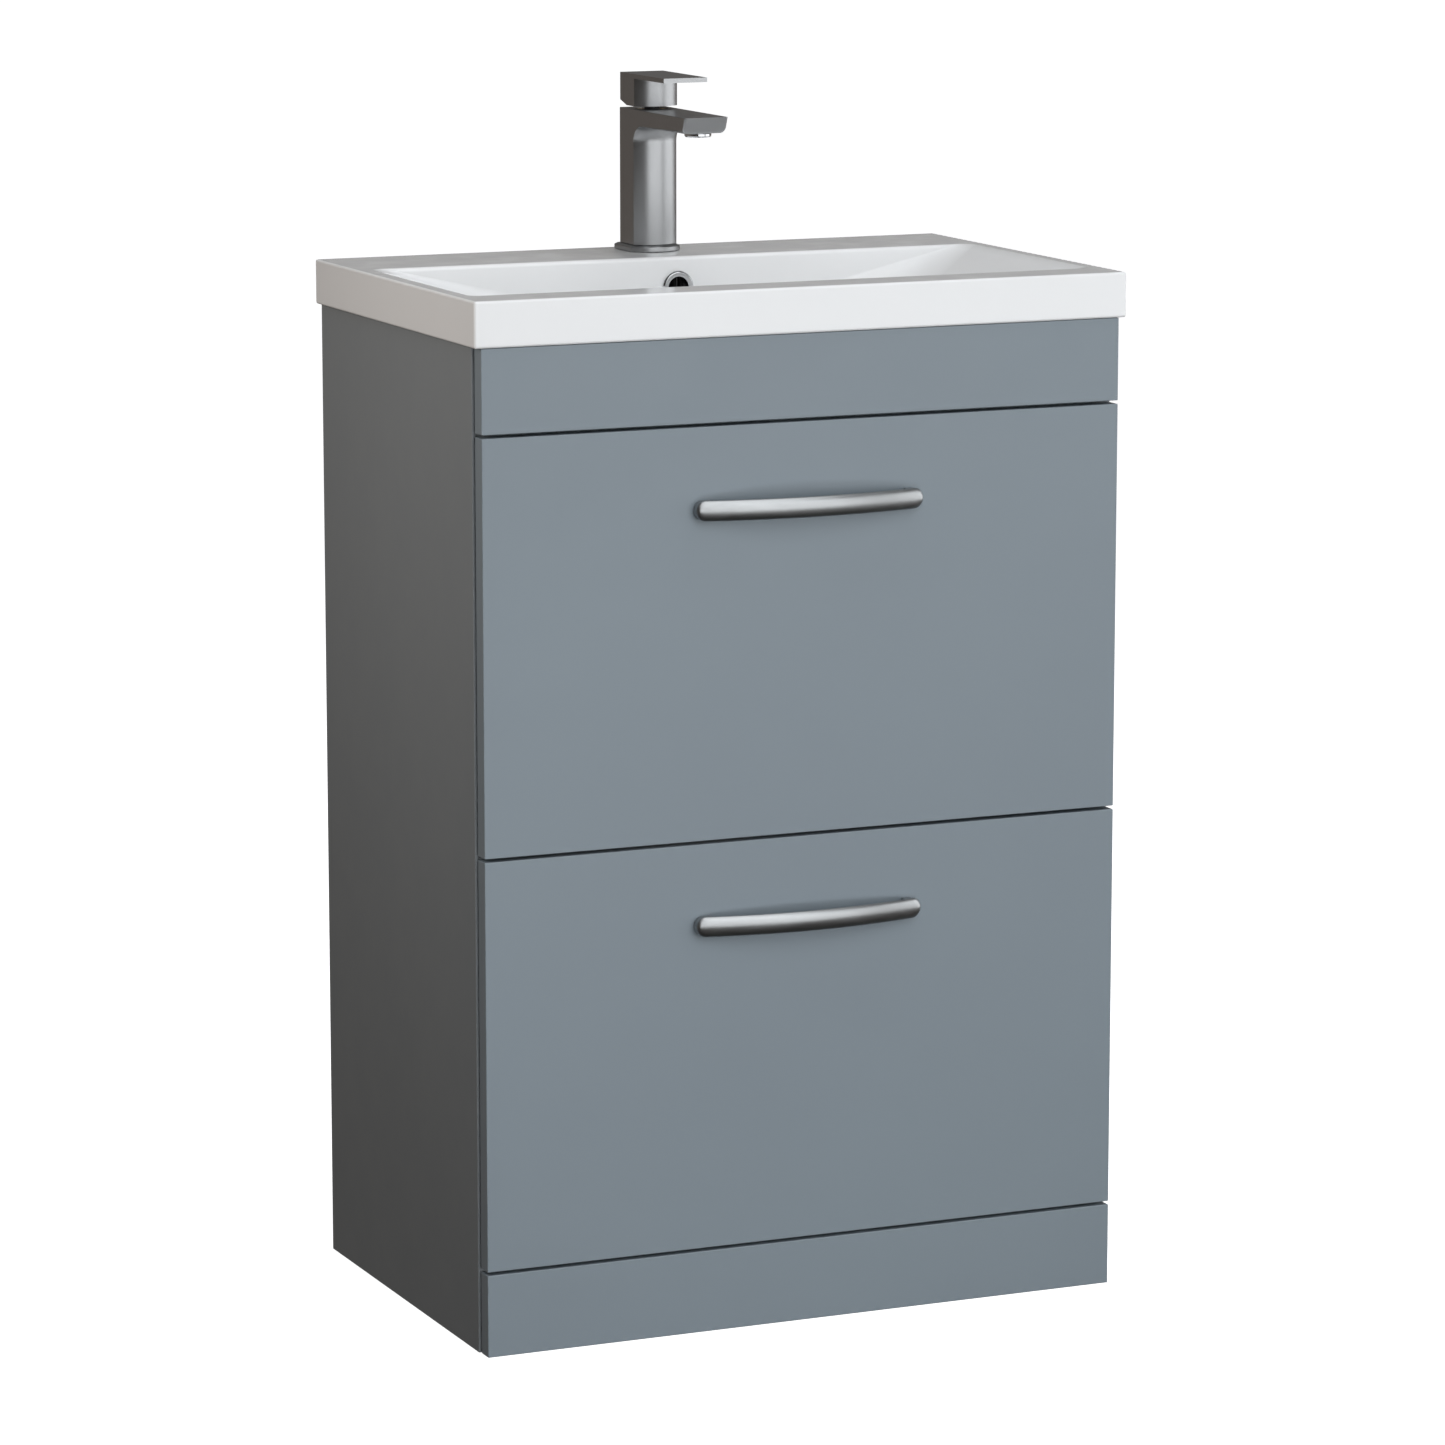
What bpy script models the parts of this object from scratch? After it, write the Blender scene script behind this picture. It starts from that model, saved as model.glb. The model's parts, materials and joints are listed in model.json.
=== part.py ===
"""Floor-standing bathroom vanity cabinet: two drawers on full-extension runners, a ceramic
basin with a deep edge, its waste, and a single-lever basin mixer.

Metres, +Z up. The origin is on the floor, under the middle of the whole object's box.
The front faces -Y. Depths are counted from the plane of the drawer fronts, backwards.
"""
import math

import bmesh
import bpy
from mathutils import Matrix, Vector

# Driving dimensions
WIDTH = 0.600
CABINET_HEIGHT = 0.870
CABINET_REAR = 0.387
BASIN_WIDTH = 0.610
BASIN_REAR = 0.3882
BASIN_FRONT = -0.0018
BASIN_EDGE = 0.040
HANDLE_PROUD = 0.0235
GAP = 0.0003

# The fronts: plinth, lower drawer, upper drawer and fascia, with a gap between each
FRONT_THICKNESS = 0.016
FRONT_GAP = 0.003
FRONT_INSET = 0.0015
PLINTH_HEIGHT = 0.0725
DRAWER_FRONT_HEIGHT = (CABINET_HEIGHT - 2 * PLINTH_HEIGHT - 3 * FRONT_GAP) / 2
LOWER_FRONT_Z = PLINTH_HEIGHT + FRONT_GAP
UPPER_FRONT_Z = LOWER_FRONT_Z + DRAWER_FRONT_HEIGHT + FRONT_GAP
FASCIA_Z = CABINET_HEIGHT - PLINTH_HEIGHT

# The carcass
BOARD = 0.018
CARCASS_FRONT = 0.0185
INNER_X = WIDTH / 2 - BOARD
BOTTOM_PANEL_Z = 0.070
RAIL_HEIGHT = 0.100
STRETCHER_THICKNESS = 0.015
STRETCHER_HEIGHT = 0.080
BRACKET_LEG = 0.025
BRACKET_HEIGHT = 0.040
BRACKET_THICKNESS = 0.002
BRACKET_Z = 0.690
BLOCK_SIZE = 0.030
BLOCK_Z = 0.012

# The drawer boxes and their runners
DRAWER_DEPTH = 0.340
DRAWER_BOX_HEIGHT = 0.190
DRAWER_BOX_RISE = 0.0215
DRAWER_BOARD = 0.012
DRAWER_SIDE_BOARD = 0.014
RUNNER_HEIGHT = 0.045
RUNNER_WIDTH = 0.0124
RUNNER_SHEET = 0.0012
RUNNER_FRONT = 0.0208
RUNNER_LENGTH = 0.340
RUNNER_RISE = 0.045
DRAWER_OUTER_X = INNER_X - RUNNER_WIDTH - 2 * GAP
DRAWER_INNER_X = DRAWER_OUTER_X - DRAWER_SIDE_BOARD
CUTOUT_RADIUS = 0.090
CUTOUT_APEX = 0.105
LINER_SHEET = 0.004

# The handles
HANDLE_HALF_LENGTH = 0.107
HANDLE_HALF_HEIGHT = 0.009
HANDLE_HALF_DEPTH = 0.0035
HANDLE_END_DEPTH = 0.0055
HANDLE_DROP = 0.0710
FOOT_LENGTH = 0.013

# The basin
BASIN_TOP = CABINET_HEIGHT + BASIN_EDGE
BASIN_WALL = 0.012
BOWL_DEPTH = 0.110
BOWL_HALF_WIDTH = 0.290
BOWL_FLOOR_HALF_WIDTH = 0.062
BOWL_FRONT = 0.044
BOWL_REAR = 0.281
BOWL_FILLET = 0.034
OVERFLOW_Z = 0.8824
OVERFLOW_RADIUS = 0.0112
WASTE_DEPTH = 0.165
WASTE_HOLE_RADIUS = 0.0230
WASTE_BOSS_RADIUS = 0.040
WASTE_BOSS_Z = BASIN_TOP - BOWL_DEPTH - 0.024
OVERFLOW_DUCT_TOP = BASIN_TOP - BOWL_DEPTH - 0.010
OVERFLOW_DUCT_BOTTOM = OVERFLOW_DUCT_TOP - 0.008

# The tap, a column between flat sides whose bowed front meets them at the corner depth
TAP_AXIS_DEPTH = 0.3390
TAP_HALF_WIDTH = 0.021
TAP_BOW_RADIUS = 0.0295
TAP_CORNER_DEPTH = 0.3321
TAP_REAR = 0.3643
TAP_PLATE_THICKNESS = 0.0058
TAP_PLATE_EDGE = 0.0043
TAP_BODY_Z = BASIN_TOP + TAP_PLATE_THICKNESS + 2 * GAP
TAP_BODY_TOP = 1.0383
TAP_HOLE_DEPTH = 0.3380
TAP_HOLE_RADIUS = 0.0175
TAP_SOCKET_TOP = 0.930
INLET_RADIUS = 0.0045
INLET_X = 0.007
INLET_DEPTH = 0.3340
SPOUT_TIP_DEPTH = 0.2152
SPOUT_BOTTOM = 1.0237
SPOUT_LEAN = 22.0
SPOUT_NOSE = 0.0036
SPOUT_HALF_WIDTH = TAP_HALF_WIDTH - 0.00005
THROAT_RADIUS = 0.0155
THROAT_STEPS = 8
AERATOR_DEPTH = 0.235
AERATOR_SOCKET_RADIUS = 0.0103
AERATOR_BOTTOM = 1.0200
AERATOR_TOP = 1.0300
CARTRIDGE_RADIUS = 0.0125
CARTRIDGE_BOTTOM = 0.9985
CARTRIDGE_NUT_RADIUS = 0.0146
CARTRIDGE_NUT_BOTTOM = 1.0303
ROTOR_RADIUS = 0.0068
LEVER_BOTTOM = 1.0410
LEVER_BLADE_Z = 1.0655
LEVER_TOP = 1.070
LEVER_FRONT = 0.2623
LEVER_FORWARD = 0.0018
LEVER_HEEL_DEPTH = 0.3475
LEVER_HEEL_SLOPE = 0.29
LEVER_PIVOT_Z = 1.050
STUD_RADIUS = 0.0038
STUD_DEPTH = 0.3480

# The plane of the drawer fronts, placed so that the object's box is centred on Y = 0
FRONT_Y = (HANDLE_PROUD - BASIN_REAR) / 2

ROUND_SEGMENTS = 32
CORNER_STEPS = 6
BOWL_STEPS = 12


def y_at(depth):
    """World Y of a depth behind the plane of the drawer fronts."""
    return FRONT_Y + depth


def clear_scene():
    for old in list(bpy.data.objects):
        bpy.data.objects.remove(old, do_unlink=True)


def new_collection(name):
    collection = bpy.data.collections.new(name)
    bpy.context.scene.collection.children.link(collection)
    return collection


clear_scene()
PARTS = new_collection("bathroom_vanity_cabinet")
CUTTERS = new_collection("cutters")
MATERIALS = {}


def material(name, color, roughness, metallic=0.0):
    """One Principled material per finish, made once and shared."""
    if name not in MATERIALS:
        mat = bpy.data.materials.new(name)
        mat.use_nodes = True
        shader = mat.node_tree.nodes["Principled BSDF"]
        shader.inputs["Base Color"].default_value = (*color, 1.0)
        shader.inputs["Roughness"].default_value = roughness
        shader.inputs["Metallic"].default_value = metallic
        MATERIALS[name] = mat
    return MATERIALS[name]


def lacquer():
    return material("satin_blue_grey_lacquer", (0.21, 0.26, 0.28), 0.40)


def carcass_board():
    return material("grey_carcass_board", (0.19, 0.23, 0.25), 0.50)


def drawer_board():
    return material("light_grey_drawer_board", (0.50, 0.51, 0.51), 0.55)


def ceramic():
    return material("white_glazed_ceramic", (0.86, 0.87, 0.87), 0.08)


def pewter():
    return material("brushed_pewter", (0.26, 0.26, 0.26), 0.34, 1.0)


def satin_nickel():
    return material("satin_nickel", (0.50, 0.51, 0.51), 0.32, 1.0)


def chrome():
    return material("polished_chrome", (0.70, 0.70, 0.71), 0.08, 1.0)


def zinc():
    return material("zinc_plated_steel", (0.55, 0.56, 0.57), 0.38, 1.0)


def brass():
    return material("plain_brass", (0.60, 0.45, 0.20), 0.35, 1.0)


def dark_plastic():
    return material("dark_moulded_plastic", (0.05, 0.05, 0.055), 0.50)


def rubber():
    return material("black_rubber", (0.02, 0.02, 0.02), 0.80)


def add_object(name, mesh, mat):
    mesh.name = name
    mesh.materials.clear()
    mesh.materials.append(mat)
    obj = bpy.data.objects.new(name, mesh)
    PARTS.objects.link(obj)
    return obj


def smooth(mesh, angle=math.radians(35)):
    mesh.shade_smooth()
    mesh.set_sharp_from_angle(angle=angle)


def box(name, low, high, mat, chamfer=0.0):
    """A board or block between two corners, with chamfered edges if asked."""
    size = [b - a for a, b in zip(low, high)]
    centre = [(a + b) / 2 for a, b in zip(low, high)]
    shape = bmesh.new()
    bmesh.ops.create_cube(shape, size=1.0, matrix=Matrix.Diagonal((*size, 1.0)))
    mesh = bpy.data.meshes.new(name)
    shape.to_mesh(mesh)
    shape.free()
    obj = add_object(name, mesh, mat)
    obj.location = centre
    if chamfer:
        edge = obj.modifiers.new("edge", "BEVEL")
        edge.width = chamfer
        edge.segments = 1
    return obj


def cylinder(name, radius, bottom, top, mat, turn=None, segments=ROUND_SEGMENTS):
    """A round bar from one point up to another; turn is a rotation matrix away from +Z."""
    height = (Vector(top) - Vector(bottom)).length
    shape = bmesh.new()
    bmesh.ops.create_cone(shape, cap_ends=True, segments=segments, radius1=radius,
                          radius2=radius, depth=height)
    if turn is not None:
        bmesh.ops.transform(shape, matrix=turn, verts=shape.verts)
    mesh = bpy.data.meshes.new(name)
    shape.to_mesh(mesh)
    shape.free()
    smooth(mesh)
    obj = add_object(name, mesh, mat)
    obj.location = (Vector(bottom) + Vector(top)) / 2
    return obj


def weld(mesh, distance=0.00001):
    shape = bmesh.new()
    shape.from_mesh(mesh)
    bmesh.ops.remove_doubles(shape, verts=shape.verts, dist=distance)
    bmesh.ops.recalc_face_normals(shape, faces=shape.faces)
    shape.to_mesh(mesh)
    shape.free()


def curve_to_mesh(name, curve_object, mat):
    """Replace a curve object by a welded mesh object in the same place."""
    bpy.context.view_layer.update()
    evaluated = curve_object.evaluated_get(bpy.context.evaluated_depsgraph_get())
    mesh = bpy.data.meshes.new_from_object(evaluated)
    place = curve_object.matrix_world.copy()
    bpy.data.objects.remove(curve_object, do_unlink=True)
    mesh.transform(place)
    weld(mesh)
    smooth(mesh)
    return add_object(name, mesh, mat)


def poly_curve(name, points, cyclic=False):
    """A curve object of one straight-sided spline through (x, y) points."""
    curve = bpy.data.curves.new(name, "CURVE")
    spline = curve.splines.new("POLY")
    spline.points.add(len(points) - 1)
    for point, (x, y) in zip(spline.points, points):
        point.co = (x, y, 0.0, 1.0)
    spline.use_cyclic_u = cyclic
    obj = bpy.data.objects.new(name, curve)
    PARTS.objects.link(obj)
    return obj


def extruded(name, outline, thickness, place, mat):
    """A flat outline, a closed list of (x, y), extruded to a thickness about its own plane."""
    obj = poly_curve(name, outline, cyclic=True)
    obj.data.dimensions = "2D"
    obj.data.fill_mode = "BOTH"
    obj.data.extrude = thickness / 2
    obj.matrix_world = place
    return curve_to_mesh(name, obj, mat)


def flat_at(z):
    """Places an outline drawn in world X and depth at a height."""
    return Matrix.Translation((0.0, FRONT_Y, z))


def side_view_at(x):
    """Places an outline drawn in depth and height in a vertical plane along the depth."""
    columns = ((0.0, 1.0, 0.0), (0.0, 0.0, 1.0), (1.0, 0.0, 0.0))
    turn = Matrix(columns).transposed().to_4x4()
    return Matrix.Translation((x, FRONT_Y, 0.0)) @ turn


def front_view_at(depth):
    """Places an outline drawn in X and height in a vertical plane across the depth."""
    return Matrix.Translation((0.0, y_at(depth), 0.0)) @ Matrix.Rotation(math.pi / 2, 4, "X")


def turned(name, profile, centre, mat, closed=True, segments=ROUND_SEGMENTS):
    """A round piece about +Z from (radius, height) points that run down its outer side."""
    mesh = bpy.data.meshes.new(name)
    points = [(radius, 0.0, height) for radius, height in profile]
    edges = [(i, i + 1) for i in range(len(points) - 1)]
    if closed:
        edges.append((len(points) - 1, 0))
    mesh.from_pydata(points, edges, [])
    obj = add_object(name, mesh, mat)
    obj.location = centre
    screw = obj.modifiers.new("turn", "SCREW")
    screw.steps = segments
    screw.render_steps = segments
    screw.use_merge_vertices = True
    screw.merge_threshold = 0.00005
    screw.use_smooth_shade = True
    return obj


def combine(target, tool, operation):
    """A Boolean of a tool, which leaves the model and is kept as a guide."""
    change = target.modifiers.new(tool.name, "BOOLEAN")
    change.operation = operation
    change.solver = "EXACT"
    change.object = tool
    for collection in list(tool.users_collection):
        collection.objects.unlink(tool)
    CUTTERS.objects.link(tool)
    tool.hide_render = True
    tool.display_type = "WIRE"


def cut(target, tool):
    combine(target, tool, "DIFFERENCE")


def join(target, tool):
    combine(target, tool, "UNION")


def arc(centre, radius, start, end, steps):
    """Points on an arc in degrees, both ends included."""
    points = []
    for i in range(steps + 1):
        angle = math.radians(start + (end - start) * i / steps)
        points.append((centre[0] + radius * math.cos(angle), centre[1] + radius * math.sin(angle)))
    return points


def bowed_outline(half, radius, corner_depth, rear_depth, steps=16):
    """A bowed front that meets two flat sides at a corner depth, in X and depth."""
    centre = corner_depth + math.sqrt(radius ** 2 - half ** 2)
    reach = math.degrees(math.asin(half / radius))
    front = arc((0.0, centre), radius, 270.0 - reach, 270.0 + reach, steps)
    return front + [(half, rear_depth), (-half, rear_depth)]


# The carcass

def side_panel(name, side):
    outer = side * WIDTH / 2
    inner = side * INNER_X
    low = (min(outer, inner), y_at(CARCASS_FRONT), 0.0)
    high = (max(outer, inner), y_at(CABINET_REAR), CABINET_HEIGHT)
    return box(name, low, high, lacquer(), chamfer=0.0006)


def cross_board(name, depth, z, mat):
    """A board between the two side panels; depth and z are (near, far) pairs."""
    reach = INNER_X - GAP
    return box(name, (-reach, y_at(depth[0]), z[0]), (reach, y_at(depth[1]), z[1]), mat)


def front_panel(name, bottom, height):
    half = WIDTH / 2 - FRONT_INSET
    low = (-half, y_at(0.0), bottom)
    high = (half, y_at(FRONT_THICKNESS), bottom + height)
    return box(name, low, high, lacquer(), chamfer=0.0008)


def carcass():
    side_panel("side_panel_left", -1)
    side_panel("side_panel_right", 1)
    front_panel("plinth_panel", 0.0, PLINTH_HEIGHT)
    front_panel("top_fascia", FASCIA_Z, PLINTH_HEIGHT)
    near = CARCASS_FRONT + GAP
    bottom_top = BOTTOM_PANEL_Z + BOARD
    top = CABINET_HEIGHT - GAP
    rail_near = CABINET_REAR - BOARD
    cross_board("bottom_panel", (near, CABINET_REAR), (BOTTOM_PANEL_Z, bottom_top), carcass_board())
    lower_rail = (bottom_top + GAP, bottom_top + GAP + RAIL_HEIGHT)
    cross_board("back_rail_lower", (rail_near, CABINET_REAR), lower_rail, carcass_board())
    cross_board("back_rail_upper", (rail_near, CABINET_REAR), (top - RAIL_HEIGHT, top), carcass_board())
    stretcher = (near, near + STRETCHER_THICKNESS)
    cross_board("front_stretcher", stretcher, (top - STRETCHER_HEIGHT, top), carcass_board())


def wall_bracket(name, side):
    """A steel angle in the rear corner: one leg on the side panel, one on the wall plane."""
    wall = CABINET_REAR
    corner = (side * (INNER_X - GAP), wall)
    leg_end = corner[0] - side * BRACKET_LEG
    inner = corner[0] - side * BRACKET_THICKNESS
    outline = [corner, (corner[0], wall - BRACKET_LEG), (inner, wall - BRACKET_LEG),
               (inner, wall - BRACKET_THICKNESS), (leg_end, wall - BRACKET_THICKNESS), (leg_end, wall)]
    return extruded(name, outline, BRACKET_HEIGHT, flat_at(BRACKET_Z + BRACKET_HEIGHT / 2), zinc())


def plinth_block(name, side):
    """A moulded block that ties the plinth panel to a side panel."""
    near_x = side * (INNER_X - GAP)
    far_x = near_x - side * BLOCK_SIZE
    near = FRONT_THICKNESS + GAP
    low = (min(near_x, far_x), y_at(near), BLOCK_Z)
    high = (max(near_x, far_x), y_at(near + BLOCK_SIZE), BLOCK_Z + BLOCK_SIZE)
    return box(name, low, high, dark_plastic(), chamfer=0.002)


# The runners, thin channels nested in one another

def channel_outline(side, web, lip, half_height, middle_z):
    """A channel's section in X and height; web and lip are distances in from the side panel."""
    wall = RUNNER_SHEET if lip > web else -RUNNER_SHEET
    section = [(web, -half_height), (lip, -half_height), (lip, -half_height + RUNNER_SHEET),
               (web + wall, -half_height + RUNNER_SHEET), (web + wall, half_height - RUNNER_SHEET),
               (lip, half_height - RUNNER_SHEET), (lip, half_height), (web, half_height)]
    return [(side * (INNER_X - GAP - x), middle_z + z) for x, z in section]


def runner_member(name, side, web, lip, half_height, middle_z):
    outline = channel_outline(side, web, lip, half_height, middle_z)
    place = front_view_at(RUNNER_FRONT + RUNNER_LENGTH / 2)
    return extruded(name, outline, RUNNER_LENGTH, place, zinc())


def runner(level, hand, side, middle_z):
    half = RUNNER_HEIGHT / 2
    ending = f"{level}_{hand}"
    runner_member(f"runner_cabinet_{ending}", side, 0.0, 0.0095, half, middle_z)
    runner_member(f"runner_middle_{ending}", side, 0.0024, 0.0108, half - 0.005, middle_z)
    runner_member(f"runner_drawer_{ending}", side, RUNNER_WIDTH, 0.0048, half - 0.010, middle_z)


# The drawers

def handle_path():
    """Centre line of the bow in X and depth, and the section's scale along it."""
    steps = 28
    points = []
    for i in range(steps + 1):
        # closer points at the ends, where the bar rounds off
        u = -math.cos(math.pi * i / steps)
        bow = (HANDLE_PROUD - HANDLE_HALF_DEPTH - HANDLE_END_DEPTH) * (1.0 - u * u)
        run_in = HANDLE_HALF_LENGTH * (1.0 - abs(u)) / HANDLE_HALF_HEIGHT
        scale = math.sqrt(1.0 - (1.0 - min(run_in, 1.0)) ** 2)
        points.append((u * HANDLE_HALF_LENGTH, -(HANDLE_END_DEPTH + bow), max(scale, 0.04)))
    return points


def handle_section():
    """The bar's flat oval section, its depth along X and its height along Y."""
    circle = arc((0.0, 0.0), 1.0, 0.0, 345.0, 23)
    points = [(HANDLE_HALF_DEPTH * x, HANDLE_HALF_HEIGHT * y) for x, y in circle]
    return poly_curve("handle_section", points, cyclic=True)


def handle(name, middle_z):
    """A bowed bar of flat oval section, with a foot behind each end."""
    path = handle_path()
    section = handle_section()
    bar = poly_curve(name, [(x, y) for x, y, _ in path])
    bar.data.dimensions = "3D"
    bar.data.twist_mode = "Z_UP"
    bar.data.bevel_mode = "OBJECT"
    bar.data.bevel_object = section
    bar.data.use_fill_caps = True
    for point, (_, _, scale) in zip(bar.data.splines[0].points, path):
        point.radius = scale
    bar.location = (0.0, FRONT_Y, middle_z)
    bar = curve_to_mesh(name, bar, satin_nickel())
    bpy.data.objects.remove(section, do_unlink=True)
    for side in (-1, 1):
        join(bar, handle_foot(f"{name}_foot", side, middle_z))
    return bar


def handle_foot(name, side, middle_z):
    """A block with a round outer end, from the drawer front into the bar's end."""
    radius = HANDLE_HALF_HEIGHT - 0.001
    end = HANDLE_HALF_LENGTH - 0.001
    turn = 90.0 if side < 0 else -90.0
    outline = arc((side * (end - radius), middle_z), radius, turn, turn + 180.0, 8)
    outline += [(side * (end - FOOT_LENGTH), outline[-1][1]), (side * (end - FOOT_LENGTH), outline[0][1])]
    thickness = HANDLE_END_DEPTH - GAP
    return extruded(name, outline, thickness, front_view_at(-GAP - thickness / 2), satin_nickel())


def cutout_bottom_outline(reach, near, far):
    """A drawer bottom in X and depth with a round-ended slot for pipes open to the back."""
    apex = arc((0.0, CUTOUT_APEX + CUTOUT_RADIUS), CUTOUT_RADIUS, 360.0, 180.0, 16)
    return [(-reach, near), (reach, near), (reach, far), (CUTOUT_RADIUS, far)] + apex + \
           [(-CUTOUT_RADIUS, far), (-reach, far)]


def service_liner(bottom):
    """A U-shaped wall round the pipe slot of the upper drawer."""
    centre = (0.0, CUTOUT_APEX + CUTOUT_RADIUS)
    outer_radius = CUTOUT_RADIUS - GAP
    inner_radius = outer_radius - LINER_SHEET
    rear = FRONT_THICKNESS + GAP + DRAWER_DEPTH
    outer = [(-outer_radius, rear)] + arc(centre, outer_radius, 180.0, 360.0, 16) + [(outer_radius, rear)]
    inner = [(inner_radius, rear)] + arc(centre, inner_radius, 360.0, 180.0, 16) + [(-inner_radius, rear)]
    place = flat_at(bottom + DRAWER_BOX_HEIGHT / 2)
    return extruded("service_liner", outer + inner, DRAWER_BOX_HEIGHT, place, dark_plastic())


def drawer(level, front_z, has_cutout):
    front_panel(f"drawer_front_{level}", front_z, DRAWER_FRONT_HEIGHT)
    handle(f"handle_{level}", front_z + DRAWER_FRONT_HEIGHT - HANDLE_DROP)
    bottom = front_z + DRAWER_BOX_RISE
    top = bottom + DRAWER_BOX_HEIGHT
    near = FRONT_THICKNESS + GAP
    far = near + DRAWER_DEPTH
    reach = DRAWER_INNER_X - GAP
    for hand, side in (("left", -1), ("right", 1)):
        x = sorted((side * DRAWER_INNER_X, side * DRAWER_OUTER_X))
        box(f"drawer_side_{level}_{hand}", (x[0], y_at(near), bottom), (x[1], y_at(far), top), drawer_board())
        runner(level, hand, side, bottom + RUNNER_RISE)
    box(f"drawer_inner_front_{level}", (-reach, y_at(near), bottom),
        (reach, y_at(near + DRAWER_BOARD), top), drawer_board())
    floor_near = near + DRAWER_BOARD + GAP
    back_near = far - DRAWER_BOARD
    if has_cutout:
        for hand, side in (("left", -1), ("right", 1)):
            x = sorted((side * CUTOUT_RADIUS, side * reach))
            box(f"drawer_back_{level}_{hand}", (x[0], y_at(back_near), bottom),
                (x[1], y_at(far), top), drawer_board())
        outline = cutout_bottom_outline(reach, floor_near, back_near - GAP)
        extruded(f"drawer_bottom_{level}", outline, DRAWER_BOARD, flat_at(bottom + DRAWER_BOARD / 2),
                 drawer_board())
        service_liner(bottom)
    else:
        box(f"drawer_back_{level}", (-reach, y_at(back_near), bottom),
            (reach, y_at(far), top), drawer_board())
        box(f"drawer_bottom_{level}", (-reach, y_at(floor_near), bottom),
            (reach, y_at(back_near - GAP), bottom + DRAWER_BOARD), drawer_board())


# The basin

def bowl_half_width(depth):
    """The side slopes start at an easy angle near the rim and steepen towards the floor."""
    u = min(max(depth / BOWL_DEPTH, 0.0), 1.0)
    return BOWL_HALF_WIDTH - (BOWL_HALF_WIDTH - BOWL_FLOOR_HALF_WIDTH) * (1.25 * u - 0.25 * u * u)


def bowl_fillet(depth):
    """How far the front and back walls have curved in towards the floor at a depth."""
    into = min(max(depth - (BOWL_DEPTH - BOWL_FILLET), 0.0), BOWL_FILLET)
    return BOWL_FILLET - math.sqrt(BOWL_FILLET ** 2 - into ** 2)


def bowl_ring(depth, grow):
    """A rounded rectangle at a depth below the rim, grown outwards by a wall thickness."""
    half_width = bowl_half_width(depth) + grow
    near = BOWL_FRONT + 0.10 * min(depth, 0.05) + bowl_fillet(depth) - grow
    far = BOWL_REAR - 0.02 * depth - bowl_fillet(depth) + grow
    radius = min(0.012 + 2.0 * max(depth, 0.0), half_width - 0.001, (far - near) / 2 - 0.001)
    ring = []
    corners = (((half_width - radius, far - radius), 0.0), ((radius - half_width, far - radius), 90.0),
               ((radius - half_width, near + radius), 180.0), ((half_width - radius, near + radius), 270.0))
    for centre, start in corners:
        ring += arc(centre, radius, start, start + 90.0, CORNER_STEPS)
    return ring


def bowl_body(name, top_z, first_depth, drop, grow):
    """A closed loft of the bowl's rings, from a flat lid at top_z down to its floor."""
    shape = bmesh.new()
    rings = []
    for i in range(BOWL_STEPS + 1):
        depth = first_depth + (BOWL_DEPTH - first_depth) * math.sin(math.pi / 2 * i / BOWL_STEPS)
        z = BASIN_TOP - depth - drop
        rings.append([shape.verts.new((x, y_at(y), z)) for x, y in bowl_ring(depth, grow)])
    lid = [shape.verts.new((v.co.x, v.co.y, top_z)) for v in rings[0]]
    rings.insert(0, lid)
    count = len(lid)
    for upper, lower in zip(rings, rings[1:]):
        for i in range(count):
            j = (i + 1) % count
            shape.faces.new((upper[i], lower[i], lower[j], upper[j]))
    shape.faces.new(rings[0])
    shape.faces.new(list(reversed(rings[-1])))
    bmesh.ops.recalc_face_normals(shape, faces=shape.faces)
    mesh = bpy.data.meshes.new(name)
    shape.to_mesh(mesh)
    shape.free()
    return add_object(name, mesh, ceramic())


def basin():
    half = BASIN_WIDTH / 2
    under = CABINET_HEIGHT + GAP
    rim = box("basin", (-half, y_at(BASIN_FRONT), under), (half, y_at(BASIN_REAR), BASIN_TOP), ceramic())
    edge = rim.modifiers.new("edge", "BEVEL")
    edge.width = 0.003
    edge.segments = 3
    hollow_x = half - BASIN_WALL
    hollow_low = (-hollow_x, y_at(BASIN_FRONT + BASIN_WALL), CABINET_HEIGHT - 0.010)
    hollow_high = (hollow_x, y_at(BASIN_REAR - BASIN_WALL), BASIN_TOP - BASIN_WALL)
    cut(rim, box("basin_underside", hollow_low, hollow_high, ceramic()))
    join(rim, bowl_body("bowl_outside", BASIN_TOP - 0.006, 0.0, BASIN_WALL, 0.010))
    floor_z = BASIN_TOP - BOWL_DEPTH
    boss_top = floor_z - 0.002
    waste = (0.0, y_at(WASTE_DEPTH))
    boss_ends = ((*waste, WASTE_BOSS_Z), (*waste, boss_top))
    join(rim, cylinder("waste_boss", WASTE_BOSS_RADIUS, *boss_ends, ceramic()))
    duct_x = 0.022
    duct_low = (-duct_x, y_at(BOWL_REAR - 0.004), WASTE_BOSS_Z)
    join(rim, box("overflow_duct", duct_low, (duct_x, y_at(BOWL_REAR + 0.033), BASIN_TOP - 0.005), ceramic()))
    run_low = (-duct_x, y_at(WASTE_DEPTH), WASTE_BOSS_Z)
    join(rim, box("overflow_run", run_low, (duct_x, y_at(BOWL_REAR), boss_top - 0.004), ceramic()))
    cut(rim, bowl_body("bowl_inside", BASIN_TOP + 0.010, 0.0, 0.0, 0.0))
    cut_holes(rim, waste)


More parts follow.
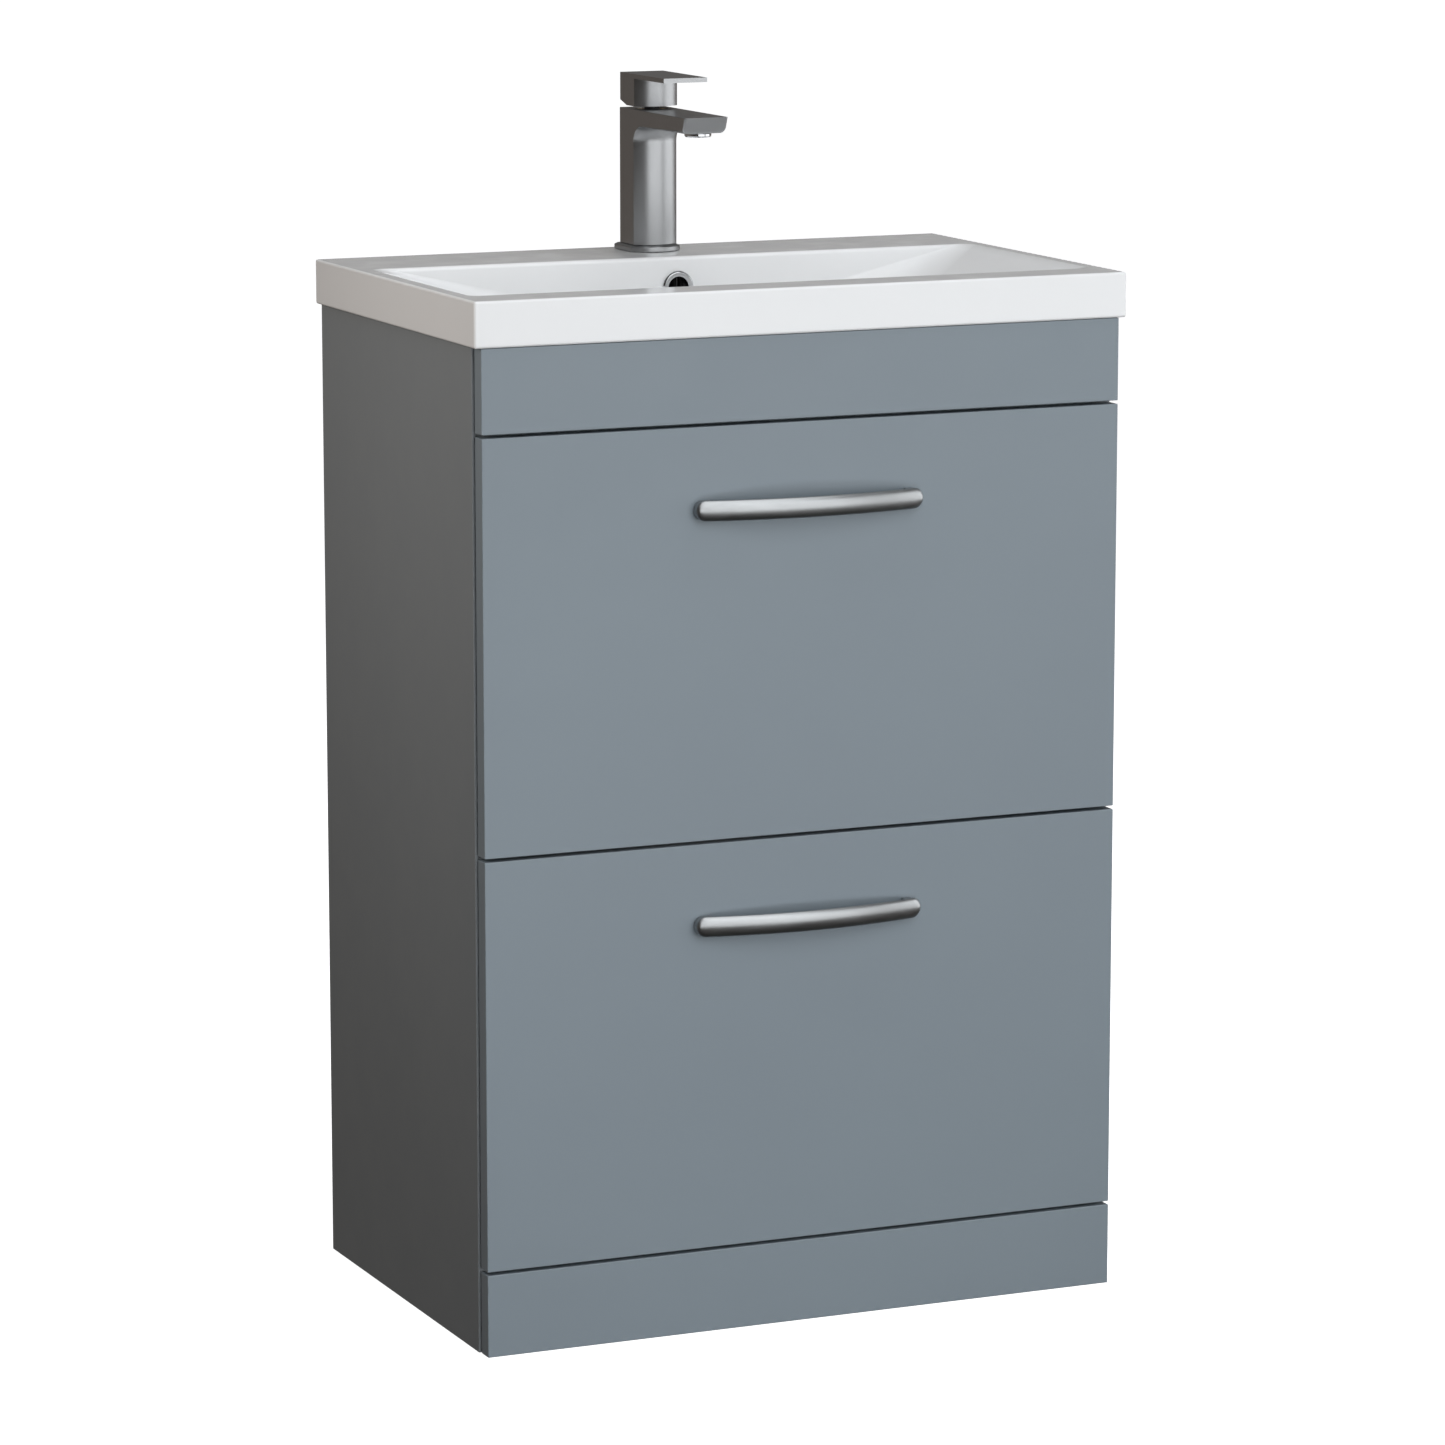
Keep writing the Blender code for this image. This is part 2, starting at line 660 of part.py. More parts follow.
def cut_holes(rim, waste):
    """The waste, tap and overflow holes, and the overflow's way down to the waste."""
    top = BASIN_TOP + 0.010
    low = WASTE_BOSS_Z - 0.010
    cut(rim, cylinder("waste_hole", WASTE_HOLE_RADIUS, (*waste, low), (*waste, top), ceramic()))
    tap = (0.0, y_at(TAP_HOLE_DEPTH))
    cut(rim, cylinder("tap_hole", TAP_HOLE_RADIUS, (*tap, low), (*tap, top), ceramic()))
    back = y_at(BOWL_REAR + 0.015)
    mouth_near = (0.0, y_at(BOWL_REAR - 0.020), OVERFLOW_Z)
    along_y = Matrix.Rotation(math.pi / 2, 4, "X")
    mouth_far = (0.0, back, OVERFLOW_Z)
    cut(rim, cylinder("overflow_hole", OVERFLOW_RADIUS, mouth_near, mouth_far, ceramic(), turn=along_y))
    shaft_x = 0.012
    shaft_low = (-shaft_x, back - 0.003, OVERFLOW_DUCT_BOTTOM)
    shaft_high = (shaft_x, back + 0.012, OVERFLOW_Z + OVERFLOW_RADIUS)
    cut(rim, box("overflow_shaft", shaft_low, shaft_high, ceramic()))
    run_low = (-shaft_x, waste[1], OVERFLOW_DUCT_BOTTOM)
    cut(rim, box("overflow_channel", run_low, (shaft_x, back + 0.006, OVERFLOW_DUCT_TOP), ceramic()))


def overflow_ring():
    """A flanged ring pushed into the overflow hole; its flange lies on the bowl's back wall."""
    sleeve, bore, flange = OVERFLOW_RADIUS - 0.0004, 0.0096, 0.0148
    profile = [(bore, 0.0022), (flange - 0.0012, 0.0022), (flange, 0.0010), (flange, 0.0),
               (sleeve, 0.0), (sleeve, -0.010), (bore, -0.010)]
    wall = y_at(BOWL_REAR - 0.02 * (BASIN_TOP - OVERFLOW_Z)) - 0.0006
    ring = turned("overflow_ring", profile, (0.0, wall, OVERFLOW_Z), chrome())
    ring.rotation_euler = (math.pi / 2, 0.0, 0.0)


# The waste

def waste_fittings():
    centre = (0.0, y_at(WASTE_DEPTH), 0.0)
    floor_z = BASIN_TOP - BOWL_DEPTH
    flange_z, tail_z, bore, tube = floor_z + 0.0028, 0.735, 0.018, 0.021
    profile = [(bore, flange_z), (0.0305, flange_z), (0.032, floor_z + 0.0014), (0.032, floor_z + GAP),
               (tube, floor_z + GAP), (tube, tail_z), (bore, tail_z)]
    body = turned("waste_body", profile, centre, chrome())
    slot_low = (-0.030, centre[1] - 0.006, OVERFLOW_DUCT_BOTTOM)
    cut(body, box("waste_slots", slot_low, (0.030, centre[1] + 0.006, OVERFLOW_DUCT_TOP), chrome()))
    bridge_z = (0.756, 0.766)
    reach = (bore + tube) / 2
    join(body, box("stem_bridge", (-reach, centre[1] - 0.004, bridge_z[0]),
                   (reach, centre[1] + 0.004, bridge_z[1]), chrome()))
    guide = ((*centre[:2], bridge_z[0] - 0.005), (*centre[:2], bridge_z[1] + 0.005))
    cut(body, cylinder("stem_guide", 0.0029, *guide, chrome(), segments=16))
    seal = [(tube + GAP, WASTE_BOSS_Z - GAP), (0.034, WASTE_BOSS_Z - GAP), (0.034, WASTE_BOSS_Z - 0.0033),
            (tube + GAP, WASTE_BOSS_Z - 0.0033)]
    turned("waste_washer", seal, centre, rubber())
    nut_top = WASTE_BOSS_Z - 0.0036
    nut_ends = ((*centre[:2], nut_top - 0.010), (*centre[:2], nut_top))
    nut = cylinder("waste_nut", 0.0315, *nut_ends, brass(), segments=6)
    bore_ends = ((*centre[:2], nut_top - 0.020), (*centre[:2], nut_top + 0.010))
    cut(nut, cylinder("waste_nut_bore", tube + GAP, *bore_ends, brass()))
    plug_z = flange_z + GAP
    plug = [(0.0, plug_z + 0.0044), (0.018, plug_z + 0.0040), (0.0265, plug_z + 0.0030),
            (0.029, plug_z + 0.0012), (0.029, plug_z), (0.0025, plug_z), (0.0025, 0.747), (0.0, 0.747)]
    turned("waste_plug", plug, centre, chrome(), closed=False)


# The tap

def spout_outline():
    """Side view of the spout in depth and height: level above and below, with a nose that leans."""
    lean = math.radians(SPOUT_LEAN)
    face_foot = SPOUT_BOTTOM + SPOUT_NOSE * (1.0 - math.sin(lean))
    nose_depth = (SPOUT_TIP_DEPTH + math.tan(lean) * (TAP_BODY_TOP - face_foot)
                  + SPOUT_NOSE * math.cos(lean))
    nose = arc((nose_depth, SPOUT_BOTTOM + SPOUT_NOSE), SPOUT_NOSE, 270.0, 180.0 + SPOUT_LEAN, 4)
    root_depth = TAP_CORNER_DEPTH + 0.006
    top = [(SPOUT_TIP_DEPTH, TAP_BODY_TOP), (root_depth, TAP_BODY_TOP)]
    return [(root_depth, SPOUT_BOTTOM)] + nose + top


def throat():
    """A flare, flat at its sides, from the column's bowed front out to the spout's underside."""
    start_radius = TAP_BOW_RADIUS - 0.0003
    centre = (0.0, TAP_CORNER_DEPTH + math.sqrt(TAP_BOW_RADIUS ** 2 - TAP_HALF_WIDTH ** 2))
    rear = TAP_CORNER_DEPTH + 0.006
    shape = bmesh.new()
    rings = []
    for i in range(THROAT_STEPS + 1):
        angle = math.pi / 2 * i / THROAT_STEPS
        radius = start_radius + THROAT_RADIUS * (1.0 - math.cos(angle))
        z = SPOUT_BOTTOM + 0.001 - THROAT_RADIUS * (1.0 - math.sin(angle))
        reach = math.degrees(math.asin(SPOUT_HALF_WIDTH / radius))
        outline = arc(centre, radius, 270.0 - reach, 270.0 + reach, 16)
        outline += [(SPOUT_HALF_WIDTH, rear), (-SPOUT_HALF_WIDTH, rear)]
        rings.append([shape.verts.new((x, y_at(y), z)) for x, y in outline])
    count = len(rings[0])
    for lower, upper in zip(rings, rings[1:]):
        for i in range(count):
            j = (i + 1) % count
            shape.faces.new((lower[i], lower[j], upper[j], upper[i]))
    shape.faces.new(rings[0])
    shape.faces.new(rings[-1])
    bmesh.ops.recalc_face_normals(shape, faces=shape.faces)
    mesh = bpy.data.meshes.new("throat")
    shape.to_mesh(mesh)
    shape.free()
    return add_object("throat", mesh, pewter())


def tap_body():
    """The column, throat and spout in one casting, with its seats and sockets."""
    column_height = TAP_BODY_TOP - TAP_BODY_Z
    middle = (TAP_BODY_TOP + TAP_BODY_Z) / 2
    axis = (0.0, y_at(TAP_AXIS_DEPTH))
    outline = bowed_outline(TAP_HALF_WIDTH, TAP_BOW_RADIUS, TAP_CORNER_DEPTH, TAP_REAR)
    body = extruded("tap_body", outline, column_height, flat_at(middle), pewter())
    join(body, throat())
    join(body, extruded("spout", spout_outline(), 2 * SPOUT_HALF_WIDTH, side_view_at(0.0), pewter()))
    seat_ends = ((*axis, CARTRIDGE_BOTTOM - 0.0005), (*axis, TAP_BODY_TOP + 0.010))
    cut(body, cylinder("cartridge_seat", CARTRIDGE_RADIUS + GAP, *seat_ends, pewter()))
    nut_ends = ((*axis, CARTRIDGE_NUT_BOTTOM - GAP), (*axis, TAP_BODY_TOP + 0.010))
    cut(body, cylinder("nut_seat", CARTRIDGE_NUT_RADIUS + 0.0004, *nut_ends, pewter()))
    for name, x, depth, radius in (("stud_socket", 0.0, STUD_DEPTH, STUD_RADIUS + GAP),
                                   ("inlet_socket_left", -INLET_X, INLET_DEPTH, INLET_RADIUS),
                                   ("inlet_socket_right", INLET_X, INLET_DEPTH, INLET_RADIUS)):
        socket_ends = ((x, y_at(depth), TAP_BODY_Z - 0.010), (x, y_at(depth), TAP_SOCKET_TOP))
        cut(body, cylinder(name, radius, *socket_ends, pewter(), segments=16))
    nozzle = (0.0, y_at(AERATOR_DEPTH))
    nozzle_ends = ((*nozzle, SPOUT_BOTTOM - 0.010), (*nozzle, AERATOR_TOP + 0.0005))
    cut(body, cylinder("aerator_socket", AERATOR_SOCKET_RADIUS, *nozzle_ends, pewter()))


def tap_base_plate():
    """A plate that stands a little wider than the column, and steps in near its top."""
    low = BASIN_TOP + GAP
    outline = bowed_outline(0.024, 0.031, TAP_CORNER_DEPTH - 0.0008, TAP_REAR + 0.0071)
    plate = extruded("tap_base_plate", outline, TAP_PLATE_EDGE, flat_at(low + TAP_PLATE_EDGE / 2), pewter())
    step = bowed_outline(0.0222, 0.030, TAP_CORNER_DEPTH - 0.0004, TAP_REAR + 0.0030)
    step_height = TAP_PLATE_THICKNESS - 0.002
    join(plate, extruded("plate_step", step, step_height, flat_at(low + 0.002 + step_height / 2), pewter()))
    hole = (0.0, y_at(TAP_HOLE_DEPTH))
    cut(plate, cylinder("base_plate_hole", 0.0150, (*hole, low - 0.010), (*hole, low + 0.010), pewter()))


def tap_inner_works():
    axis = (0.0, y_at(TAP_AXIS_DEPTH), 0.0)
    nozzle = (0.0, y_at(AERATOR_DEPTH), 0.0)
    neck = AERATOR_SOCKET_RADIUS - GAP
    flange_top = SPOUT_BOTTOM - GAP
    aerator = [(0.0, AERATOR_TOP), (neck, AERATOR_TOP), (neck, flange_top), (0.0120, flange_top),
               (0.0120, AERATOR_BOTTOM + 0.0012), (0.0111, AERATOR_BOTTOM), (0.0, AERATOR_BOTTOM)]
    turned("tap_aerator", aerator, nozzle, chrome(), closed=False)
    shoulder, neck_top = CARTRIDGE_NUT_BOTTOM - 0.0007, 1.0376
    cartridge = [(0.0, neck_top), (0.0090, neck_top), (0.0090, shoulder), (CARTRIDGE_RADIUS, shoulder),
                 (CARTRIDGE_RADIUS, CARTRIDGE_BOTTOM), (0.0, CARTRIDGE_BOTTOM)]
    turned("tap_cartridge", cartridge, axis, dark_plastic(), closed=False)
    nut = [(0.0094, neck_top), (CARTRIDGE_NUT_RADIUS, neck_top),
           (CARTRIDGE_NUT_RADIUS, CARTRIDGE_NUT_BOTTOM), (0.0094, CARTRIDGE_NUT_BOTTOM)]
    turned("tap_cartridge_nut", nut, axis, brass())
    rotor = [(0.0, 1.0448), (ROTOR_RADIUS, 1.0448), (ROTOR_RADIUS, neck_top + GAP), (0.0, neck_top + GAP)]
    turned("tap_rotor", rotor, axis, dark_plastic(), closed=False)


def tap_fixings():
    """The stud that hangs through the tap hole, with its washer and nut under the ledge."""
    stud = (0.0, y_at(STUD_DEPTH))
    cylinder("tap_stud", STUD_RADIUS, (*stud, 0.860), (*stud, 0.9295), zinc(), segments=16)
    under = BASIN_TOP - BASIN_WALL - GAP
    hole = (0.0, y_at(TAP_HOLE_DEPTH))
    washer = cylinder("tap_washer", 0.0240, (*hole, under - 0.003), (*hole, under), zinc())
    slot_low = (-0.0085, y_at(TAP_HOLE_DEPTH - 0.030), under - 0.010)
    slot_high = (0.0085, y_at(STUD_DEPTH - STUD_RADIUS - 0.0014), under + 0.010)
    cut(washer, box("washer_slot", slot_low, slot_high, zinc()))
    cut(washer, cylinder("washer_hole", STUD_RADIUS + GAP, (*stud, 0.87), (*stud, 0.92), zinc(), segments=16))
    nut_top = under - 0.003 - GAP
    nut = cylinder("tap_nut", 0.0075, (*stud, nut_top - 0.010), (*stud, nut_top), brass(), segments=6)
    cut(nut, cylinder("tap_nut_bore", STUD_RADIUS + GAP, (*stud, 0.87), (*stud, 0.92), brass(), segments=16))


def tap_lever(swivel):
    """A bowed block with a flat blade on top, hollow below for the cartridge's stem."""
    block_height = LEVER_TOP - LEVER_BOTTOM
    middle = (LEVER_TOP + LEVER_BOTTOM) / 2
    rear = TAP_REAR - LEVER_FORWARD
    outline = bowed_outline(TAP_HALF_WIDTH, TAP_BOW_RADIUS, TAP_CORNER_DEPTH - LEVER_FORWARD, rear)
    lever = extruded("tap_lever", outline, block_height, flat_at(middle), pewter())
    half = TAP_HALF_WIDTH + 0.0001
    join(lever, box("lever_blade", (-half, y_at(LEVER_FRONT), LEVER_BLADE_Z),
                    (half, y_at(rear + 0.0001), LEVER_TOP - 0.00001), pewter()))
    past_rear = rear + 0.010
    heel_top = LEVER_BOTTOM + LEVER_HEEL_SLOPE * (past_rear - LEVER_HEEL_DEPTH)
    heel = [(LEVER_HEEL_DEPTH, LEVER_BOTTOM), (LEVER_HEEL_DEPTH, LEVER_BOTTOM - 0.010),
            (past_rear, LEVER_BOTTOM - 0.010), (past_rear, heel_top)]
    cut(lever, extruded("lever_heel", heel, 0.06, side_view_at(0.0), pewter()))
    axis = (0.0, y_at(TAP_AXIS_DEPTH))
    hollow_ends = ((*axis, LEVER_BOTTOM - 0.006), (*axis, 1.0612))
    cut(lever, cylinder("lever_hollow", ROTOR_RADIUS + 0.0022, *hollow_ends, pewter()))
    stem_low, stem_high = (-0.0035, axis[1] - 0.0035, 1.0466), (0.0035, axis[1] + 0.0035, 1.0609)
    stem = box("tap_stem", stem_low, stem_high, brass())
    pivot = bpy.data.objects.new("tap_lever_pivot", None)
    PARTS.objects.link(pivot)
    pivot.location = (*axis, LEVER_PIVOT_Z)
    pivot.parent = swivel
    bpy.context.view_layer.update()
    for piece in (lever, stem):
        keep_place(piece, pivot)


def keep_place(piece, parent):
    """Parent a piece to an empty without moving the piece."""
    bpy.context.view_layer.update()
    place = piece.matrix_world.copy()
    piece.parent = parent
    piece.matrix_parent_inverse = parent.matrix_world.inverted()
    piece.matrix_world = place


def swivel_empty():
    """An empty on the tap's upright axis, which everything that turns hangs from."""
    swivel = bpy.data.objects.new("tap_swivel_axis", None)
    PARTS.objects.link(swivel)
    swivel.location = (0.0, y_at(TAP_AXIS_DEPTH), TAP_BODY_TOP)
    bpy.context.view_layer.update()
    return swivel


def drawer_empties():
    """One empty for each drawer, so that a whole drawer can be pulled out together."""
    for level, front_z in (("upper", UPPER_FRONT_Z), ("lower", LOWER_FRONT_Z)):
        slide = bpy.data.objects.new(f"drawer_slide_{level}", None)
        PARTS.objects.link(slide)
        slide.location = (0.0, FRONT_Y, front_z)
        bpy.context.view_layer.update()
        stems = (f"drawer_front_{level}", f"drawer_side_{level}", f"drawer_inner_front_{level}",
                 f"drawer_back_{level}", f"drawer_bottom_{level}", f"handle_{level}",
                 f"runner_drawer_{level}")
        for piece in list(PARTS.objects):
            is_liner = level == "upper" and piece.name == "service_liner"
            if piece.name.startswith(stems) or is_liner:
                keep_place(piece, slide)


carcass()
for hand_name, hand_side in (("left", -1), ("right", 1)):
    wall_bracket(f"wall_bracket_{hand_name}", hand_side)
    plinth_block(f"plinth_block_{hand_name}", hand_side)
drawer("upper", UPPER_FRONT_Z, has_cutout=True)
drawer("lower", LOWER_FRONT_Z, has_cutout=False)
drawer_empties()
basin()
overflow_ring()
waste_fittings()
tap_base_plate()
tap_body()
tap_inner_works()
tap_fixings()
TAP_SWIVEL = swivel_empty()
keep_place(bpy.data.objects["tap_rotor"], TAP_SWIVEL)
tap_lever(TAP_SWIVEL)
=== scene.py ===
"""The looks of a bathroom vanity cabinet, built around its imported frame.

Every piece is placed from the frame's own boxes. Metres, +Z up, and the front faces -Y.
Depths are counted backwards from the plane of the drawer fronts.
"""
import json
import math

import bmesh
import bpy
from mathutils import Matrix, Vector

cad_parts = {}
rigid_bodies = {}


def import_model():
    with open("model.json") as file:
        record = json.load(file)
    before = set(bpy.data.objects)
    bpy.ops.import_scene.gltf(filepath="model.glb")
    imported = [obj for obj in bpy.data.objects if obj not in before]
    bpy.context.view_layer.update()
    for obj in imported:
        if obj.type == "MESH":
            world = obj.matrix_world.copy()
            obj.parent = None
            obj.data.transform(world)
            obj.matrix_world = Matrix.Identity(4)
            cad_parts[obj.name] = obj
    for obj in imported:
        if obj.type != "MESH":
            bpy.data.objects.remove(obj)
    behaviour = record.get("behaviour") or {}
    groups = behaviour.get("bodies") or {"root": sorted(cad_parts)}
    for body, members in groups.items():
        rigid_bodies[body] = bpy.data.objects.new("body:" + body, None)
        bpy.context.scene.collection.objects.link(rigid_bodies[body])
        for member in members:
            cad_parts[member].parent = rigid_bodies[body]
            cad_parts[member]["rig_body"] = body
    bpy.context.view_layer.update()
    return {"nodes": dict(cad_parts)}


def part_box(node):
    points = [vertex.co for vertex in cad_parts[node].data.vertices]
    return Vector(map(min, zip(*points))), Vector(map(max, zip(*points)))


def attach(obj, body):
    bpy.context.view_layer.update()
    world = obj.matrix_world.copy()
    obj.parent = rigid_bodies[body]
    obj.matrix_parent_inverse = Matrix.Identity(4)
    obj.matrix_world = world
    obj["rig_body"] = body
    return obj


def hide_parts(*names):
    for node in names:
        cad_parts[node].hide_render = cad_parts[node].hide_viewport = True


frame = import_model()

FRONT_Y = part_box("drawer_front_upper")[0].y
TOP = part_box("basin")[1].z

CLEARANCE = 0.0003  # what touching pieces keep between them

# The bowl, as the frame's basin has it
BASIN_WALL = 0.012
BOWL_DEPTH = 0.110
BOWL_HALF_WIDTH = 0.290
BOWL_FLOOR_HALF_WIDTH = 0.062
BOWL_FRONT = 0.044
BOWL_REAR = 0.281
BOWL_FILLET = 0.034
BOWL_LIP = 0.0035
RIM_RADIUS = 0.0022
OVERFLOW_HOLE = 0.0112
# The box inside the overflow duct where the ceramic is painted nearly black, a painted shade
DUCT_SHADE_LOW = (-0.02, 0.2825, 0.862)
DUCT_SHADE_HIGH = (0.02, 0.372, 0.8965)
WASTE_HOLE = 0.0230
WASTE_BOSS = 0.040
WASTE_TUBE = 0.021
WASTE_BORE = 0.018
SLOT_LOW = 0.018
SLOT_HIGH = 0.010

# The tap: a column between flat sides whose bowed front meets them at the corner depth
TAP_HALF_WIDTH = 0.021
TAP_BOW = 0.0295
TAP_CORNER = 0.3321
TAP_REAR = 0.3643
TAP_AXIS = 0.3390
TAP_HOLE = 0.3380
TAP_HOLE_RADIUS = 0.0175
BASE_HALF_WIDTH = 0.024
BASE_BOW = 0.031
BASE_HEIGHT = 0.0058
BASE_HOLE = 0.0150
STUD_DEPTH = 0.3480
STUD_HOLE = 0.0041
INLET_DEPTH = 0.3340
INLET_HOLE = 0.0045
CARTRIDGE_HOLE = 0.0128
NUT_HOLE = 0.0150
SPOUT_TIP = 0.2152
SPOUT_BOTTOM = 1.0237
SPOUT_LEAN = 0.0059
SPOUT_RIM = 0.0026
THROAT_RADIUS = 0.0155
AERATOR_DEPTH = 0.235
AERATOR_SOCKET = 0.0103
LEVER_FRONT = 0.2623
LEVER_FORWARD = 0.0018
BLADE_BOTTOM = 1.0659
HEEL_DEPTH = 0.3475
HEEL_SLOPE = 0.29

# The handles
HANDLE_HALF_LENGTH = 0.107
HANDLE_HALF_HEIGHT = 0.009
HANDLE_HALF_DEPTH = 0.0035
HANDLE_END_DEPTH = 0.0055
HANDLE_PROUD = 0.0235
HANDLE_FULLNESS = 1.06  # the power of its section's sine and cosine; 1 is an ellipse

# The runners
SHEET = 0.0012
BALL_RADIUS = 0.00175
BALL_COUNT = 12
BALL_PITCH = 0.0085

# What the world sends, as colours from straight down (0) to straight up (1)
ROOM_LIGHT = ((0.0, (0.030, 0.025, 0.020)), (0.45, (0.050, 0.040, 0.032)),
              (0.60, (0.075, 0.068, 0.062)), (1.0, (0.38, 0.39, 0.41)))
ROOM_MIRRORED = ((0.0, (0.07, 0.07, 0.07)), (0.20, (0.10, 0.09, 0.085)), (0.42, (0.22, 0.19, 0.17)),
                 (0.58, (0.14, 0.13, 0.12)), (1.0, (0.26, 0.265, 0.275)))


def y_at(depth):
    return FRONT_Y + depth


def middle_of(node):
    """The x, y and z of the middle of a CAD node's box."""
    return [(a + b) / 2 for a, b in zip(*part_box(node))]


# Shapes

def arc(centre, radius, start, end, steps):
    """Points on an arc in degrees, both ends included."""
    points = []
    for i in range(steps + 1):
        angle = math.radians(start + (end - start) * i / steps)
        points.append((centre[0] + radius * math.cos(angle), centre[1] + radius * math.sin(angle)))
    return points


def rounded(points, radius, steps=4, closed=True):
    """An outline with each corner turned into an arc; radius is one number, or one for each corner."""
    radii = radius if isinstance(radius, (list, tuple)) else [radius] * len(points)
    result = []
    for i, (point, wanted) in enumerate(zip(points, radii)):
        corner = Vector(point)
        is_end = not closed and i in (0, len(points) - 1)
        before = Vector(points[i - 1]) - corner
        after = Vector(points[(i + 1) % len(points)]) - corner
        half = before.angle(after) / 2
        sweep = math.pi - 2 * half
        if is_end or wanted <= 0 or sweep < 0.05:
            result.append(tuple(corner))
            continue
        reach = min(wanted / math.tan(half), 0.499 * before.length, 0.499 * after.length)
        centre = corner + (before.normalized() + after.normalized()).normalized() * (reach / math.cos(half))
        start = corner + before.normalized() * reach - centre
        end = corner + after.normalized() * reach - centre
        for k in range(steps + 1):
            share = k / steps
            turn = start * math.sin((1 - share) * sweep) + end * math.sin(share * sweep)
            result.append(tuple(centre + turn / math.sin(sweep)))
    return result


def skin(rows, wrap_rows=False, wrap_points=True, caps=True):
    """A closed skin over rows of points, all of one length."""
    shape = bmesh.new()
    lines = [[shape.verts.new(point) for point in row] for row in rows]
    count = len(lines[0])
    pairs = list(zip(lines, lines[1:])) + ([(lines[-1], lines[0])] if wrap_rows else [])
    for a, b in pairs:
        for i in range(count if wrap_points else count - 1):
            j = (i + 1) % count
            shape.faces.new((a[i], a[j], b[j], b[i]))
    if caps and not wrap_rows:
        shape.faces.new(lines[0][::-1])
        shape.faces.new(lines[-1])
    bmesh.ops.remove_doubles(shape, verts=shape.verts, dist=0.000001)
    bmesh.ops.recalc_face_normals(shape, faces=shape.faces)
    return shape


def turned(profile, centre, segments=64, closed=False):
    """A solid of revolution about +Z; a profile that isn't closed starts and ends on the axis."""
    rows = []
    for i in range(segments):
        angle = 2 * math.pi * i / segments
        rows.append([(centre[0] + r * math.cos(angle), centre[1] + r * math.sin(angle), centre[2] + h)
                     for r, h in profile])
    return skin(rows, wrap_rows=True, wrap_points=closed)


def flat(a, b, c):
    """Places an outline of world X and Y at a height."""
    return (a, b, c)


def from_side(a, b, c):
    """Places an outline of world Y and Z at an X."""
    return (c, a, b)


def from_front(a, b, c):
    """Places an outline of world X and Z at a Y."""
    return (a, c, b)


def prism(outline, low, high, place, rim=0.0, segments=2):
    """An outline extruded from low to high, with rounded rims."""
    shape = skin([[place(a, b, c) for a, b in outline] for c in (low, high)])
    if rim:
        count = len(outline)
        shape.verts.ensure_lookup_table()
        groups = (set(shape.verts[:count]), set(shape.verts[count:]))
        rims = [e for e in shape.edges if any(set(e.verts) <= group for group in groups)]
        bmesh.ops.bevel(shape, geom=rims, offset=rim, segments=segments, profile=0.5,
                        affect="EDGES", clamp_overlap=True)
    return shape


def block(low, high, radius, segments=3):
    """A block between two corners with every edge rounded."""
    size = [b - a for a, b in zip(low, high)]
    middle = [(a + b) / 2 for a, b in zip(low, high)]
    shape = bmesh.new()
    matrix = Matrix.Translation(middle) @ Matrix.Diagonal((*size, 1.0))
    bmesh.ops.create_cube(shape, size=1.0, matrix=matrix)
    bmesh.ops.bevel(shape, geom=shape.edges[:], offset=radius, segments=segments, profile=0.5,
                    affect="EDGES", clamp_overlap=True)
    return shape


def rod(radius, start, end, segments=48):
    """A plain round cutter between two points."""
    axis = Vector(end) - Vector(start)
    turn = Vector((0, 0, 1)).rotation_difference(axis).to_matrix().to_4x4()
    place = Matrix.Translation((Vector(start) + Vector(end)) / 2) @ turn
    shape = bmesh.new()
    bmesh.ops.create_cone(shape, cap_ends=True, segments=segments, radius1=radius, radius2=radius,
                          depth=axis.length, matrix=place)
    return shape


def drill(radius, x, y, low, high, segments=48):
    """An upright round cutter."""
    return rod(radius, (x, y, low), (x, y, high), segments)


def spun(shape, degrees, centre):
    """A shape made round the origin, turned about +Z and put at a centre."""
    return moved(shape, Matrix.Translation(centre) @ Matrix.Rotation(math.radians(degrees), 4, "Z"))


def mesh_of(shape, name="scratch"):
    """A mesh of a shape, which is used up."""
    mesh = bpy.data.meshes.new(name)
    shape.to_mesh(mesh)
    shape.free()
    return mesh


def placed(name, data, location=(0, 0, 0)):
    """A new object in the scene."""
    obj = bpy.data.objects.new(name, data)
    bpy.context.scene.collection.objects.link(obj)
    obj.location = location
    return obj


def combined(shape, *steps):
    """The shape after Booleans, each an (operation, tool) pair; the tools are used up."""
    base = placed("scratch", mesh_of(shape))
    helpers = []
    for operation, tool in steps:
        helper = placed("scratch", mesh_of(tool))
        change = base.modifiers.new(operation, "BOOLEAN")
        change.operation = operation
        change.solver = "EXACT"
        change.object = helper
        helpers.append(helper)
    bpy.context.view_layer.update()
    evaluated = base.evaluated_get(bpy.context.evaluated_depsgraph_get())
    result = bmesh.new()
    result.from_mesh(evaluated.to_mesh())
    evaluated.to_mesh_clear()
    for obj in (base, *helpers):
        bpy.data.meshes.remove(obj.data)
    bmesh.ops.remove_doubles(result, verts=result.verts, dist=0.000002)
    return result


def cut(shape, *tools):
    return combined(shape, *[("DIFFERENCE", tool) for tool in tools])


def joined(shape, *tools):
    return combined(shape, *[("UNION", tool) for tool in tools])


def merged(shapes):
    """Several separate solids in one mesh."""
    result = bmesh.new()
    for shape in shapes:
        mesh = mesh_of(shape)
        result.from_mesh(mesh)
        bpy.data.meshes.remove(mesh)
    return result


def moved(shape, place):
    bmesh.ops.transform(shape, matrix=place, verts=shape.verts)
    return shape


